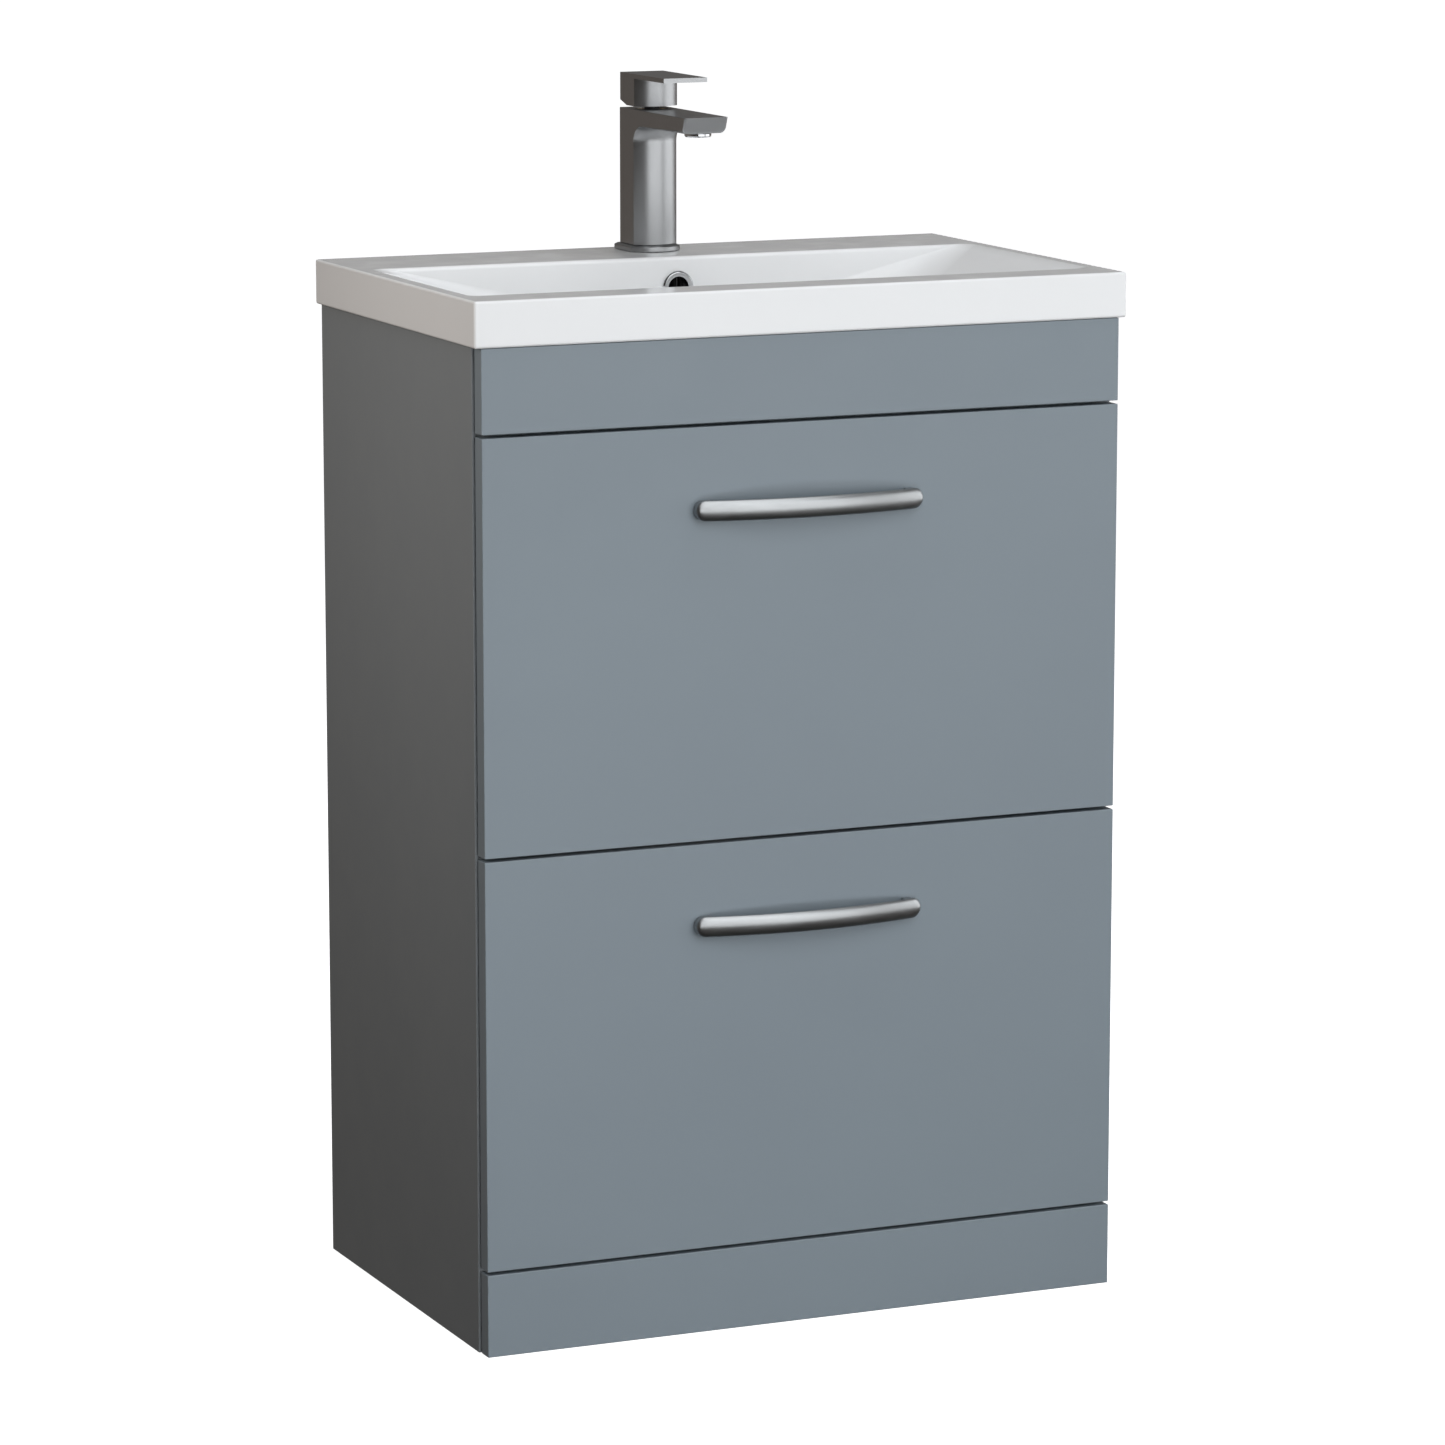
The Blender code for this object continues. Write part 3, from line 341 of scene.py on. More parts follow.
def soften_edges(shape, radius, over=35.0, segments=2):
    """Rounds each edge that is sharper than an angle, after flat faces are made whole."""
    bmesh.ops.dissolve_limit(shape, angle_limit=math.radians(0.3), verts=shape.verts[:],
                             edges=shape.edges[:], delimit=set())
    sharp = [e for e in shape.edges if len(e.link_faces) == 2
             and e.calc_face_angle(0.0) > math.radians(over)]
    bmesh.ops.bevel(shape, geom=sharp, offset=radius, segments=segments, profile=0.5,
                    affect="EDGES", clamp_overlap=True, loop_slide=True)
    return shape


# Materials

class Finish:
    """A procedural material, built up from a base by tint, roughness, grain and lighter edges that are
    rubbed, and on the pewter also a painted highlight.
    """

    def __init__(self, name, color, roughness, metallic=0.0, slot=None):
        self.name = name
        self.slot = slot or name
        self.base = color
        self.material = bpy.data.materials.new(name)
        self.material.use_nodes = True
        self.tree = self.material.node_tree
        self.shader = self.tree.nodes["Principled BSDF"]
        self.shader.inputs["Base Color"].default_value = (*color, 1.0)
        self.shader.inputs["Roughness"].default_value = roughness
        self.shader.inputs["Metallic"].default_value = metallic
        self.place = self.tree.nodes.new("ShaderNodeTexCoord").outputs["Object"]

    def feed(self, socket, value):
        """Links a socket to another one, or sets it."""
        if isinstance(value, bpy.types.NodeSocket):
            self.tree.links.new(value, socket)
        else:
            socket.default_value = value

    def add(self, kind, settings=None, **inputs):
        """A node with some of its inputs fed; an input's name has _ for a space."""
        node = self.tree.nodes.new(kind)
        for key, value in (settings or {}).items():
            setattr(node, key, value)
        for key, value in inputs.items():
            self.feed(node.inputs[key.replace("_", " ")], value)
        return node

    def calculate(self, operation, *values):
        node = self.add("ShaderNodeMath", {"operation": operation})
        for socket, value in zip(node.inputs, values):
            self.feed(socket, value)
        return node.outputs[0]

    def noise(self, scale, detail=3.0, stretch=(1.0, 1.0, 1.0)):
        mapping = self.add("ShaderNodeMapping", Vector=self.place, Scale=stretch)
        texture = self.add("ShaderNodeTexNoise", Vector=mapping.outputs[0], Scale=scale, Detail=detail)
        return texture.outputs["Fac"]

    def spread(self, value, low, high, start=0.3, end=0.7):
        """A value remapped from start..end to low..high."""
        return self.add("ShaderNodeMapRange", Value=value, From_Min=start, From_Max=end,
                        To_Min=low, To_Max=high).outputs[0]

    def mix(self, factor, a, b):
        node = self.add("ShaderNodeMix", {"data_type": "RGBA"}, Factor=factor)
        colors = [s for s in node.inputs if s.type == "RGBA"]
        for socket, value in zip(colors, (a, b)):
            self.feed(socket, value if isinstance(value, bpy.types.NodeSocket) else (*value, 1.0))
        return next(s for s in node.outputs if s.type == "RGBA")

    def color_so_far(self):
        links = self.shader.inputs["Base Color"].links
        return links[0].from_socket if links else self.base

    def set_color(self, socket):
        self.tree.links.new(socket, self.shader.inputs["Base Color"])

    def tint(self, scale, amount, stretch=(1.0, 1.0, 1.0), shift=(0.0, 0.0, 0.0)):
        """Broad, faint variation between a darker and a lighter, slightly shifted tone."""
        dark = tuple(c * (1.0 - amount) for c in self.base)
        light = tuple(c * (1.0 + amount) + s for c, s in zip(self.base, shift))
        factor = self.spread(self.noise(scale, 4.0, stretch), 0.0, 1.0)
        self.set_color(self.mix(factor, dark, light))
        return self

    def edges(self, radius):
        """How near a sharp edge is, from 0 to 1, by how far the normal turns within a radius."""
        soft = self.add("ShaderNodeBevel", {"samples": 4}, Radius=radius).outputs[0]
        hard = self.add("ShaderNodeNewGeometry").outputs["Normal"]
        same = self.add("ShaderNodeVectorMath", {"operation": "DOT_PRODUCT"})
        self.feed(same.inputs[0], soft)
        self.feed(same.inputs[1], hard)
        return self.spread(same.outputs["Value"], 1.0, 0.0, 0.90, 0.995)

    def edge_wear_and_highlight(self, radius, color, amount, scale=60.0):
        """Another colour where an edge is near and a noise allows it: rubbed edges, and on the pewter also a
        painted edge highlight.
        """
        patches = self.spread(self.noise(scale, 5.0), 0.0, amount, 0.40, 0.62)
        factor = self.calculate("MULTIPLY", self.edges(radius), patches)
        self.set_color(self.mix(factor, self.color_so_far(), color))
        return self

    def gloss(self, scale, low, high, stretch=(1.0, 1.0, 1.0)):
        value = self.spread(self.noise(scale, 5.0, stretch), low, high)
        self.feed(self.shader.inputs["Roughness"], value)
        return self

    def grain(self, scale, height, detail=2.0, stretch=(1.0, 1.0, 1.0)):
        """Fine relief of a height in metres, laid over what relief there is."""
        texture = self.noise(scale, detail, stretch)
        bump = self.add("ShaderNodeBump", Height=texture, Strength=1.0, Distance=height)
        links = self.shader.inputs["Normal"].links
        if links:
            self.tree.links.new(links[0].from_socket, bump.inputs["Normal"])
        self.tree.links.new(bump.outputs[0], self.shader.inputs["Normal"])
        return self

    def inside(self, low, high, color):
        """A painted shade: another colour within a box between two (x, depth, z) corners."""
        low, high = [(x, y_at(depth), z) for x, depth, z in (low, high)]
        split = self.add("ShaderNodeSeparateXYZ", Vector=self.place)
        within = 1.0
        for output, a, b in zip(split.outputs, low, high):
            near = self.calculate("COMPARE", output, (a + b) / 2, (b - a) / 2)
            within = self.calculate("MULTIPLY", within, near)
        self.set_color(self.mix(within, self.color_so_far(), color))
        return self

    def shine(self, level):
        self.shader.inputs["Specular IOR Level"].default_value = level
        return self

    def coat(self, weight, roughness):
        self.shader.inputs["Coat Weight"].default_value = weight
        self.shader.inputs["Coat Roughness"].default_value = roughness
        return self


def finishes():
    """Every finish by name, each with a slot name."""
    along_x = (0.02, 1.0, 1.0)
    along_y = (1.0, 0.03, 1.0)
    made = (
        Finish("front_lacquer", (0.204, 0.242, 0.2725), 0.42, slot="lacquer")
        .tint(3.0, 0.018, shift=(-0.001, 0.001, 0.0)).edge_wear_and_highlight(0.0012, (0.30, 0.35, 0.38), 0.35)
        .gloss(25.0, 0.38, 0.46).grain(900.0, 0.000012).grain(140.0, 0.000010),
        # The same lacquer as the fronts, its colour shifted greyer and warmer as a painted shade for the side
        # panels.
        Finish("side_lacquer_painted_shade", (0.222, 0.240, 0.252), 0.45, slot="lacquer")
        .tint(3.0, 0.018).edge_wear_and_highlight(0.0012, (0.30, 0.34, 0.36), 0.35)
        .gloss(25.0, 0.41, 0.49).grain(900.0, 0.000012).grain(140.0, 0.000010).shine(0.2),
        Finish("carcass_board", (0.19, 0.23, 0.25), 0.52)
        .tint(5.0, 0.03).edge_wear_and_highlight(0.0012, (0.34, 0.31, 0.27), 0.5)
        .gloss(40.0, 0.46, 0.58).grain(1400.0, 0.00002),
        Finish("drawer_board", (0.50, 0.51, 0.51), 0.55)
        .tint(260.0, 0.05, stretch=along_y).edge_wear_and_highlight(0.0012, (0.60, 0.56, 0.50), 0.5)
        .gloss(60.0, 0.48, 0.60).grain(900.0, 0.00003, stretch=along_y),
        # The ceramic is painted nearly black inside the overflow duct as a painted shade.
        Finish("ceramic", (0.80, 0.81, 0.815), 0.10)
        .tint(14.0, 0.006).gloss(30.0, 0.10, 0.17).grain(55.0, 0.00003).coat(0.10, 0.04)
        .inside(DUCT_SHADE_LOW, DUCT_SHADE_HIGH, (0.012, 0.012, 0.013)),
        # The pewter's lighter edge colour is partly rubbed metal and partly a painted edge highlight.
        Finish("pewter", (0.355, 0.36, 0.365), 0.32, 1.0)
        .tint(30.0, 0.02).edge_wear_and_highlight(0.0008, (0.50, 0.50, 0.49), 0.5)
        .gloss(400.0, 0.30, 0.35).grain(1500.0, 0.000002),
        Finish("satin_nickel", (0.39, 0.40, 0.405), 0.33, 1.0)
        .tint(30.0, 0.02).edge_wear_and_highlight(0.0010, (0.55, 0.55, 0.54), 0.5)
        .gloss(400.0, 0.30, 0.37, along_x).grain(1500.0, 0.000003, stretch=along_x),
        Finish("chrome", (0.62, 0.63, 0.64), 0.07, 1.0)
        .tint(20.0, 0.015).gloss(50.0, 0.05, 0.11).grain(200.0, 0.000002),
        Finish("zinc", (0.52, 0.53, 0.54), 0.36, 1.0)
        .tint(130.0, 0.12).edge_wear_and_highlight(0.0008, (0.70, 0.70, 0.70), 0.6)
        .gloss(140.0, 0.26, 0.46).grain(700.0, 0.00001),
        Finish("brass", (0.60, 0.45, 0.20), 0.34, 1.0)
        .tint(90.0, 0.10).edge_wear_and_highlight(0.0008, (0.78, 0.64, 0.36), 0.6)
        .gloss(160.0, 0.28, 0.42).grain(500.0, 0.00001),
        Finish("plastic", (0.045, 0.046, 0.050), 0.48)
        .tint(40.0, 0.10).edge_wear_and_highlight(0.0010, (0.11, 0.11, 0.115), 0.6)
        .gloss(90.0, 0.42, 0.56).grain(1800.0, 0.00003),
        Finish("rubber", (0.022, 0.022, 0.022), 0.78)
        .tint(60.0, 0.15).edge_wear_and_highlight(0.0010, (0.05, 0.05, 0.05), 0.5)
        .gloss(120.0, 0.70, 0.86).grain(900.0, 0.00003),
    )
    return {finish.name: finish for finish in made}


FINISHES = finishes()


def piece(name, shape, finish, body, *nodes, sharp=35.0):
    """A finished mesh that rides on a body and stands for some of its CAD nodes."""
    mesh = mesh_of(shape, name)
    mesh.materials.append(FINISHES[finish].material)
    mesh.shade_smooth()
    mesh.set_sharp_from_angle(angle=math.radians(sharp))
    obj = placed(name, mesh)
    normals = obj.modifiers.new("face_normals", "WEIGHTED_NORMAL")
    normals.keep_sharp = True
    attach(obj, body)
    if nodes:
        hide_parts(*nodes)
    return obj


def stand_for(node, shape, finish, sharp=35.0):
    body = frame["nodes"][node]["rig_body"]
    return piece(f"finished_{node}", shape, finish, body, node, sharp=sharp)


# The boards

def board(node, finish, radius=0.0008):
    """A board with softened edges in the place of a CAD board."""
    low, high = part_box(node)
    return stand_for(node, block(low, high, radius), finish)


def boards():
    for node in ("top_fascia", "plinth_panel", "drawer_front_upper", "drawer_front_lower"):
        board(node, "front_lacquer", 0.0007)
    for hand in ("left", "right"):
        # The side panels take the lacquer colour with painted shade.
        board(f"side_panel_{hand}", "side_lacquer_painted_shade", 0.0007)
    for node in ("bottom_panel", "front_stretcher", "back_rail_upper", "back_rail_lower"):
        board(node, "carcass_board", 0.0006)
    for level in ("upper", "lower"):
        board(f"drawer_inner_front_{level}", "drawer_board", 0.0006)
        for hand in ("left", "right"):
            board(f"drawer_side_{level}_{hand}", "drawer_board", 0.0006)
    for node in ("drawer_back_upper_left", "drawer_back_upper_right", "drawer_back_lower",
                 "drawer_bottom_lower"):
        board(node, "drawer_board", 0.0006)


# The handles

def handle_station(u):
    """Half height, half depth and middle depth of the bar at a share of its half length."""
    to_end = HANDLE_HALF_LENGTH * (1.0 - abs(u))
    round_in = min(to_end / HANDLE_HALF_HEIGHT, 1.0)
    thin_in = min(to_end / HANDLE_HALF_DEPTH, 1.0)
    height = HANDLE_HALF_HEIGHT * math.sqrt(max(1.0 - (1.0 - round_in) ** 2, 0.0))
    depth = HANDLE_HALF_DEPTH * (0.15 + 0.85 * math.sqrt(1.0 - (1.0 - thin_in) ** 2))
    bow = (HANDLE_PROUD - HANDLE_HALF_DEPTH - HANDLE_END_DEPTH) * (1.0 - u * u)
    return max(height, 0.0004), depth, HANDLE_END_DEPTH + bow


def handle(node):
    """A bowed bar with round ends and a foot of the same outline behind each end."""
    middle = middle_of(node)[2]
    stations, around = 88, 44
    rows = []
    for i in range(stations + 1):
        u = -math.cos(math.pi * i / stations)
        height, depth, out = handle_station(u)
        row = []
        for k in range(around):
            angle = 2 * math.pi * k / around
            across, up = [math.copysign(abs(share) ** HANDLE_FULLNESS, share)
                          for share in (math.cos(angle), math.sin(angle))]
            row.append((u * HANDLE_HALF_LENGTH, y_at(-out - depth * across), middle + height * up))
        rows.append(row)
    feet = [handle_foot(side, middle) for side in (-1, 1)]
    return stand_for(node, joined(skin(rows), *feet), "satin_nickel", sharp=50.0)


def handle_foot(side, middle):
    """Half a round-ended block, a little inside the bar's own outline."""
    step_in = 0.0006
    radius = HANDLE_HALF_HEIGHT - step_in
    end = HANDLE_HALF_LENGTH - step_in
    turn = 90.0 if side < 0 else -90.0
    outline = arc((side * (end - radius), middle), radius, turn, turn + 180.0, 24)
    inner = side * (end - 0.015)
    outline += [(inner, outline[-1][1]), (inner, outline[0][1])]
    return prism(outline, y_at(-HANDLE_END_DEPTH), y_at(-CLEARANCE), from_front)


# The basin

def bowl_half_width(depth):
    """The side slopes start at an easy angle near the rim and steepen towards the floor."""
    u = min(max(depth / BOWL_DEPTH, 0.0), 1.0)
    return BOWL_HALF_WIDTH - (BOWL_HALF_WIDTH - BOWL_FLOOR_HALF_WIDTH) * (1.25 * u - 0.25 * u * u)


def bowl_fillet(depth):
    into = min(max(depth - (BOWL_DEPTH - BOWL_FILLET), 0.0), BOWL_FILLET)
    return BOWL_FILLET - math.sqrt(BOWL_FILLET ** 2 - into ** 2)


def bowl_ring(depth, grow, z):
    """A rounded rectangle at a depth below the rim, grown outwards, as points at a height."""
    below = max(depth, 0.0)
    half_width = bowl_half_width(below) + grow
    near = BOWL_FRONT + 0.10 * min(below, 0.05) + bowl_fillet(below) - grow
    far = BOWL_REAR - 0.02 * below - bowl_fillet(below) + grow
    radius = min(0.012 + 2.0 * below, half_width - 0.001, (far - near) / 2 - 0.001)
    right, left = half_width - radius, radius - half_width
    corners = (((right, far - radius), 0.0), ((left, far - radius), 90.0),
               ((left, near + radius), 180.0), ((right, near + radius), 270.0))
    ring = []
    for centre, start in corners:
        ring += arc(centre, radius, start, start + 90.0, 14)
    return [(x, y_at(y), z) for x, y in ring]


def bowl_inside():
    """The cutter of the bowl, with a soft lip that turns into the flat rim."""
    rows = [bowl_ring(0.0, BOWL_LIP, TOP + 0.010)]
    lip_steps = 8
    for i in range(lip_steps + 1):
        angle = math.pi / 2 * i / lip_steps
        drop = BOWL_LIP * (1.0 - math.cos(angle))
        rows.append(bowl_ring(drop, BOWL_LIP * (1.0 - math.sin(angle)), TOP - drop))
    steps = 44
    for i in range(1, steps + 1):
        depth = BOWL_LIP + (BOWL_DEPTH - BOWL_LIP) * math.sin(math.pi / 2 * i / steps)
        rows.append(bowl_ring(depth, 0.0, TOP - depth))
    return skin(rows)


def bowl_outside():
    """The bowl's underside, a wall's thickness below and outside the cutter."""
    grow = 0.010
    rows = [bowl_ring(0.0, grow, TOP - 0.006)]
    steps = 24
    for i in range(steps + 1):
        depth = BOWL_DEPTH * math.sin(math.pi / 2 * i / steps)
        rows.append(bowl_ring(depth, grow, TOP - depth - BASIN_WALL))
    return skin(rows)


def basin():
    low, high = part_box("basin")
    skirt_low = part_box("side_panel_left")[1].z + CLEARANCE
    shell = block((low.x, low.y, skirt_low), high, RIM_RADIUS, segments=5)
    wall = Vector((BASIN_WALL, BASIN_WALL, 0.0))
    hollow = block(Vector((low.x, low.y, skirt_low - 0.020)) + wall,
                   Vector((high.x, high.y, TOP - BASIN_WALL)) - wall, 0.006, segments=4)
    x, y, _ = middle_of("waste_plug")
    overflow_z = middle_of("overflow_ring")[2]
    bowl_floor = TOP - BOWL_DEPTH
    slot_low, slot_high = bowl_floor - SLOT_LOW, bowl_floor - SLOT_HIGH
    outer, inner = 0.022, 0.012
    duct_front, duct_rear = y_at(BOWL_REAR - 0.004), y_at(BOWL_REAR + 0.033)
    shaft_y = y_at(BOWL_REAR + 0.015)
    shaft_top = overflow_z + OVERFLOW_HOLE
    solids = (bowl_outside(),
              prism(arc((x, y), WASTE_BOSS, 0.0, 354.0, 59), low.z, bowl_floor - 0.002, flat, 0.002),
              block((-outer, duct_front, low.z), (outer, duct_rear, TOP - 0.005), 0.004),
              block((-outer, y, low.z), (outer, y_at(BOWL_REAR), bowl_floor - 0.006), 0.004))
    holes = (bowl_inside(),
             drill(WASTE_HOLE, x, y, bowl_floor - 0.05, TOP, 72),
             drill(TAP_HOLE_RADIUS, 0, y_at(TAP_HOLE), bowl_floor, TOP + 0.01, 72),
             rod(OVERFLOW_HOLE, (0, y_at(BOWL_REAR - 0.02), overflow_z), (0, shaft_y, overflow_z), 64),
             block((-inner, shaft_y - 0.003, slot_low), (inner, shaft_y + 0.012, shaft_top), 0.002),
             block((-inner, y, slot_low), (inner, shaft_y + 0.006, slot_high), 0.002))
    shape = combined(shell, ("DIFFERENCE", hollow), *[("UNION", solid) for solid in solids],
                     *[("DIFFERENCE", hole) for hole in holes])
    return stand_for("basin", shape, "ceramic", sharp=32.0)


def overflow_ring():
    """A flanged ring whose flange lies on the bowl's back wall."""
    low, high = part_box("overflow_ring")
    middle = Vector((0.0, high.y - 0.010, (low.z + high.z) / 2))
    bore, tube, flange, back = 0.0096, 0.0108, 0.0148, -0.010
    profile = rounded([(bore, 0.0022), (0.0136, 0.0022), (flange, 0.0008), (flange, 0.0), (tube, 0.0),
                       (tube, back), (bore, back)], [0.0011, 0.0009, 0.0008, 0.0002, 0.0, 0.0, 0.0], 5)
    ring = turned(profile, (0, 0, 0), 72, closed=True)
    moved(ring, Matrix.Translation(middle) @ Matrix.Rotation(math.pi / 2, 4, "X"))
    return stand_for("overflow_ring", ring, "chrome")


# The waste

def waste_body():
    """A slotted tube with a flange, a bridge that guides the plug, and a few turns of thread."""
    x, y, _ = middle_of("waste_plug")
    bowl_floor = TOP - BOWL_DEPTH
    flange, seat = bowl_floor + 0.0028, bowl_floor + CLEARANCE
    edge, tail = 0.032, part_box("waste_body")[0].z
    profile = rounded([(WASTE_BORE, flange), (edge - 0.0015, flange), (edge, bowl_floor + 0.0014),
                       (edge, seat), (WASTE_TUBE, seat), (WASTE_TUBE, tail), (WASTE_BORE, tail)],
                      [0.0008, 0.0012, 0.0006, 0.0002, 0.0, 0.0006, 0.0004], 4)
    body = turned(profile, (x, y, 0), 72, closed=True)
    slots = block((-0.030, y - 0.006, bowl_floor - SLOT_LOW),
                  (0.030, y + 0.006, bowl_floor - SLOT_HIGH), 0.002)
    within, bridge_low, bridge_high = 0.0195, 0.756, 0.766
    bridge = block((-within, y - 0.004, bridge_low), (within, y + 0.004, bridge_high), 0.0006)
    guide = drill(0.0029, x, y, bridge_low - 0.006, bridge_high + 0.004, 32)
    crests = []
    for k in range(6):
        base = tail + 0.004 + 0.0015 * k
        crest = [(within, base), (WASTE_TUBE + 0.0006, base + 0.0005), (within, base + 0.0010)]
        crests.append(("UNION", turned(crest, (x, y, 0), 72, closed=True)))
    body = combined(body, ("DIFFERENCE", slots), ("UNION", bridge), ("DIFFERENCE", guide), *crests)
    stand_for("waste_body", body, "chrome")


def waste_seal_and_nut():
    x, y, _ = middle_of("waste_plug")
    bore = WASTE_TUBE + CLEARANCE
    low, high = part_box("waste_washer")
    seal = rounded([(bore, low.z), (0.034, low.z), (0.034, high.z), (bore, high.z)], 0.0009)
    stand_for("waste_washer", turned(seal, (x, y, 0), 72, closed=True), "rubber")
    low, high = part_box("waste_nut")
    nut = cut(prism(arc((x, y), 0.0315, 0.0, 300.0, 5), low.z, high.z, flat, 0.0012, 3),
              drill(bore, x, y, low.z - 0.01, high.z + 0.01, 64))
    stand_for("waste_nut", nut, "brass")


def waste_plug():
    """A shallow dome with a rounded edge, on a thin stem."""
    low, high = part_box("waste_plug")
    x, y, _ = middle_of("waste_plug")
    thick, rise = 0.0044, 0.0014
    base, edge, stem = high.z - thick, 0.029, 0.0025
    dome = [(0.0265 * k / 10, base + thick - rise * (k / 10) ** 2) for k in range(11)]
    rest = rounded([dome[-1], (edge, base + rise), (edge, base), (stem, base), (stem, low.z)],
                   [0.0, 0.0008, 0.0004, 0.0004, 0.0], 4, closed=False)
    stand_for("waste_plug", turned(dome + rest[1:] + [(0.0, low.z)], (x, y, 0), 72), "chrome")


# The tap

def bow_centre():
    return TAP_CORNER + math.sqrt(TAP_BOW ** 2 - TAP_HALF_WIDTH ** 2)


def bowed_outline(half, radius, corner_depth, rear, crisp=0.0004, back=0.0010):
    """A bowed front between two flat sides, with small corners, in world X and Y."""
    centre = corner_depth + math.sqrt(radius ** 2 - half ** 2)
    reach = math.degrees(math.asin(half / radius))
    front = arc((0.0, y_at(centre)), radius, 270.0 - reach, 270.0 + reach, 40)
    corners = [crisp] + [0.0] * 39 + [crisp, back, back]
    return rounded(front + [(half, y_at(rear)), (-half, y_at(rear))], corners, 4)


def throat():
    """The flare that turns the column's bowed front into the spout's underside."""
    rows = []
    steps = 20
    half = TAP_HALF_WIDTH
    rear = y_at(TAP_CORNER + 0.006)
    for i in range(steps + 1):
        angle = math.pi / 2 * i / steps
        radius = TAP_BOW + THROAT_RADIUS * (1.0 - math.cos(angle))
        z = SPOUT_BOTTOM + 0.0008 - THROAT_RADIUS + THROAT_RADIUS * math.sin(angle)
        reach = math.degrees(math.asin(half / radius))
        row = arc((0.0, y_at(bow_centre())), radius, 270.0 - reach, 270.0 + reach, 48)
        rows.append([(x, y, z) for x, y in row + [(half, rear), (-half, rear)]])
    rows.append([(x, y, z + 0.004) for x, y, z in rows[-1]])
    return skin(rows)


def spout_section(depth, inset):
    """A section across the spout, crisp above, rounder below and leaning back the nearer the tip."""
    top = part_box("tap_body")[1].z
    share = min(max((TAP_CORNER - depth) / (TAP_CORNER - SPOUT_TIP), 0.0), 1.0)
    bottom = SPOUT_BOTTOM + inset
    low_radius = 0.0006 + 0.0046 * share ** 1.3
    half = TAP_HALF_WIDTH - inset
    crisp = 0.0005
    outline = arc((half - crisp, top - crisp), crisp, 0.0, 90.0, 4)
    outline += arc((crisp - half, top - crisp), crisp, 90.0, 180.0, 4)
    outline += arc((low_radius - half, bottom + low_radius), low_radius, 180.0, 270.0, 12)
    outline += arc((half - low_radius, bottom + low_radius), low_radius, 270.0, 360.0, 12)
    lean = SPOUT_LEAN * share ** 3 / (top - SPOUT_BOTTOM)
    return [(x, y_at(depth + lean * (top - z)), z) for x, z in outline]


def spout():
    rows = [spout_section(TAP_CORNER + 0.004, 0.0)]
    straight = 26
    start, end = TAP_CORNER, SPOUT_TIP + SPOUT_RIM
    for i in range(straight + 1):
        rows.append(spout_section(start + (end - start) * i / straight, 0.0))
    rim_steps = 8
    for i in range(1, rim_steps + 1):
        angle = math.pi / 2 * i / rim_steps
        rows.append(spout_section(end - SPOUT_RIM * math.sin(angle), SPOUT_RIM * (1.0 - math.cos(angle))))
    return skin(rows)


def tap_body():
    """The column with its spout, and the holes that the cartridge, aerator and fixings go in."""
    low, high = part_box("tap_body")
    outline = bowed_outline(TAP_HALF_WIDTH, TAP_BOW, TAP_CORNER, TAP_REAR)
    column = prism(outline, low.z, high.z, flat, 0.0005, 3)
    axis_y, inlet_y = y_at(TAP_AXIS), y_at(INLET_DEPTH)
    over, under, foot = high.z + 0.01, low.z - 0.01, 0.930
    holes = (drill(CARTRIDGE_HOLE, 0, axis_y, 0.998, over),
             drill(NUT_HOLE, 0, axis_y, 1.030, over),
             drill(STUD_HOLE, 0, y_at(STUD_DEPTH), under, foot, 32),
             drill(INLET_HOLE, -0.007, inlet_y, under, foot, 32),
             drill(INLET_HOLE, 0.007, inlet_y, under, foot, 32),
             drill(AERATOR_SOCKET, 0, y_at(AERATOR_DEPTH), SPOUT_BOTTOM - 0.0137, SPOUT_BOTTOM + 0.0068))
    shape = combined(column, ("UNION", throat()), ("UNION", spout()),
                     *[("DIFFERENCE", hole) for hole in holes])
    return stand_for("tap_body", shape, "pewter", sharp=38.0)


def tap_base_plate():
    """A plate with a softly sloped top, a little wider than the column."""
    low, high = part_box("tap_base_plate")
    rows = []
    for height, inset in ((0.0, 0.0005), (0.0003, 0.0001), (0.0006, 0.0), (0.0038, 0.0), (0.0042, 0.0001),
                          (0.0045, 0.0004), (0.0054, 0.0017), (0.0057, 0.0021), (BASE_HEIGHT, 0.0026)):
        outline = bowed_outline(BASE_HALF_WIDTH - inset, BASE_BOW - inset, TAP_CORNER - 0.0008 + 0.6 * inset,
                                TAP_REAR + 0.0071 - inset, 0.0008, 0.0016)
        rows.append([(x, y, low.z + height * (high.z - low.z) / BASE_HEIGHT) for x, y in outline])
    hole = drill(BASE_HOLE, 0, y_at(TAP_HOLE), low.z - 0.01, high.z + 0.01)
    return stand_for("tap_base_plate", cut(skin(rows), hole), "pewter", sharp=60.0)


def tap_lever():
    """A bowed block under a flat blade, with a slanted heel and a hollow for the stem."""
    low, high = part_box("tap_lever")
    half, rear = TAP_HALF_WIDTH, TAP_REAR - LEVER_FORWARD
    front_y, axis_y = y_at(LEVER_FRONT), y_at(TAP_AXIS)
    outline = bowed_outline(half, TAP_BOW, TAP_CORNER - LEVER_FORWARD, rear, 0.0002, 0.0)
    blade = prism([(-half, front_y), (half, front_y), (half, axis_y), (-half, axis_y)],
                  BLADE_BOTTOM, high.z, flat)
    heel_start, heel_end, under = y_at(HEEL_DEPTH), y_at(rear + 0.010), low.z - 0.01
    heel = prism([(heel_start, low.z), (heel_start, under), (heel_end, under),
                  (heel_end, low.z + HEEL_SLOPE * (heel_end - heel_start))], -0.03, 0.03, from_side)
    shape = combined(prism(outline, low.z, high.z, flat), ("UNION", blade), ("DIFFERENCE", heel))
    soften_edges(shape, 0.0005)
    shape = cut(shape, drill(0.0090, 0, axis_y, under, BLADE_BOTTOM - 0.0047, 64))
    return stand_for("tap_lever", shape, "pewter", sharp=40.0)


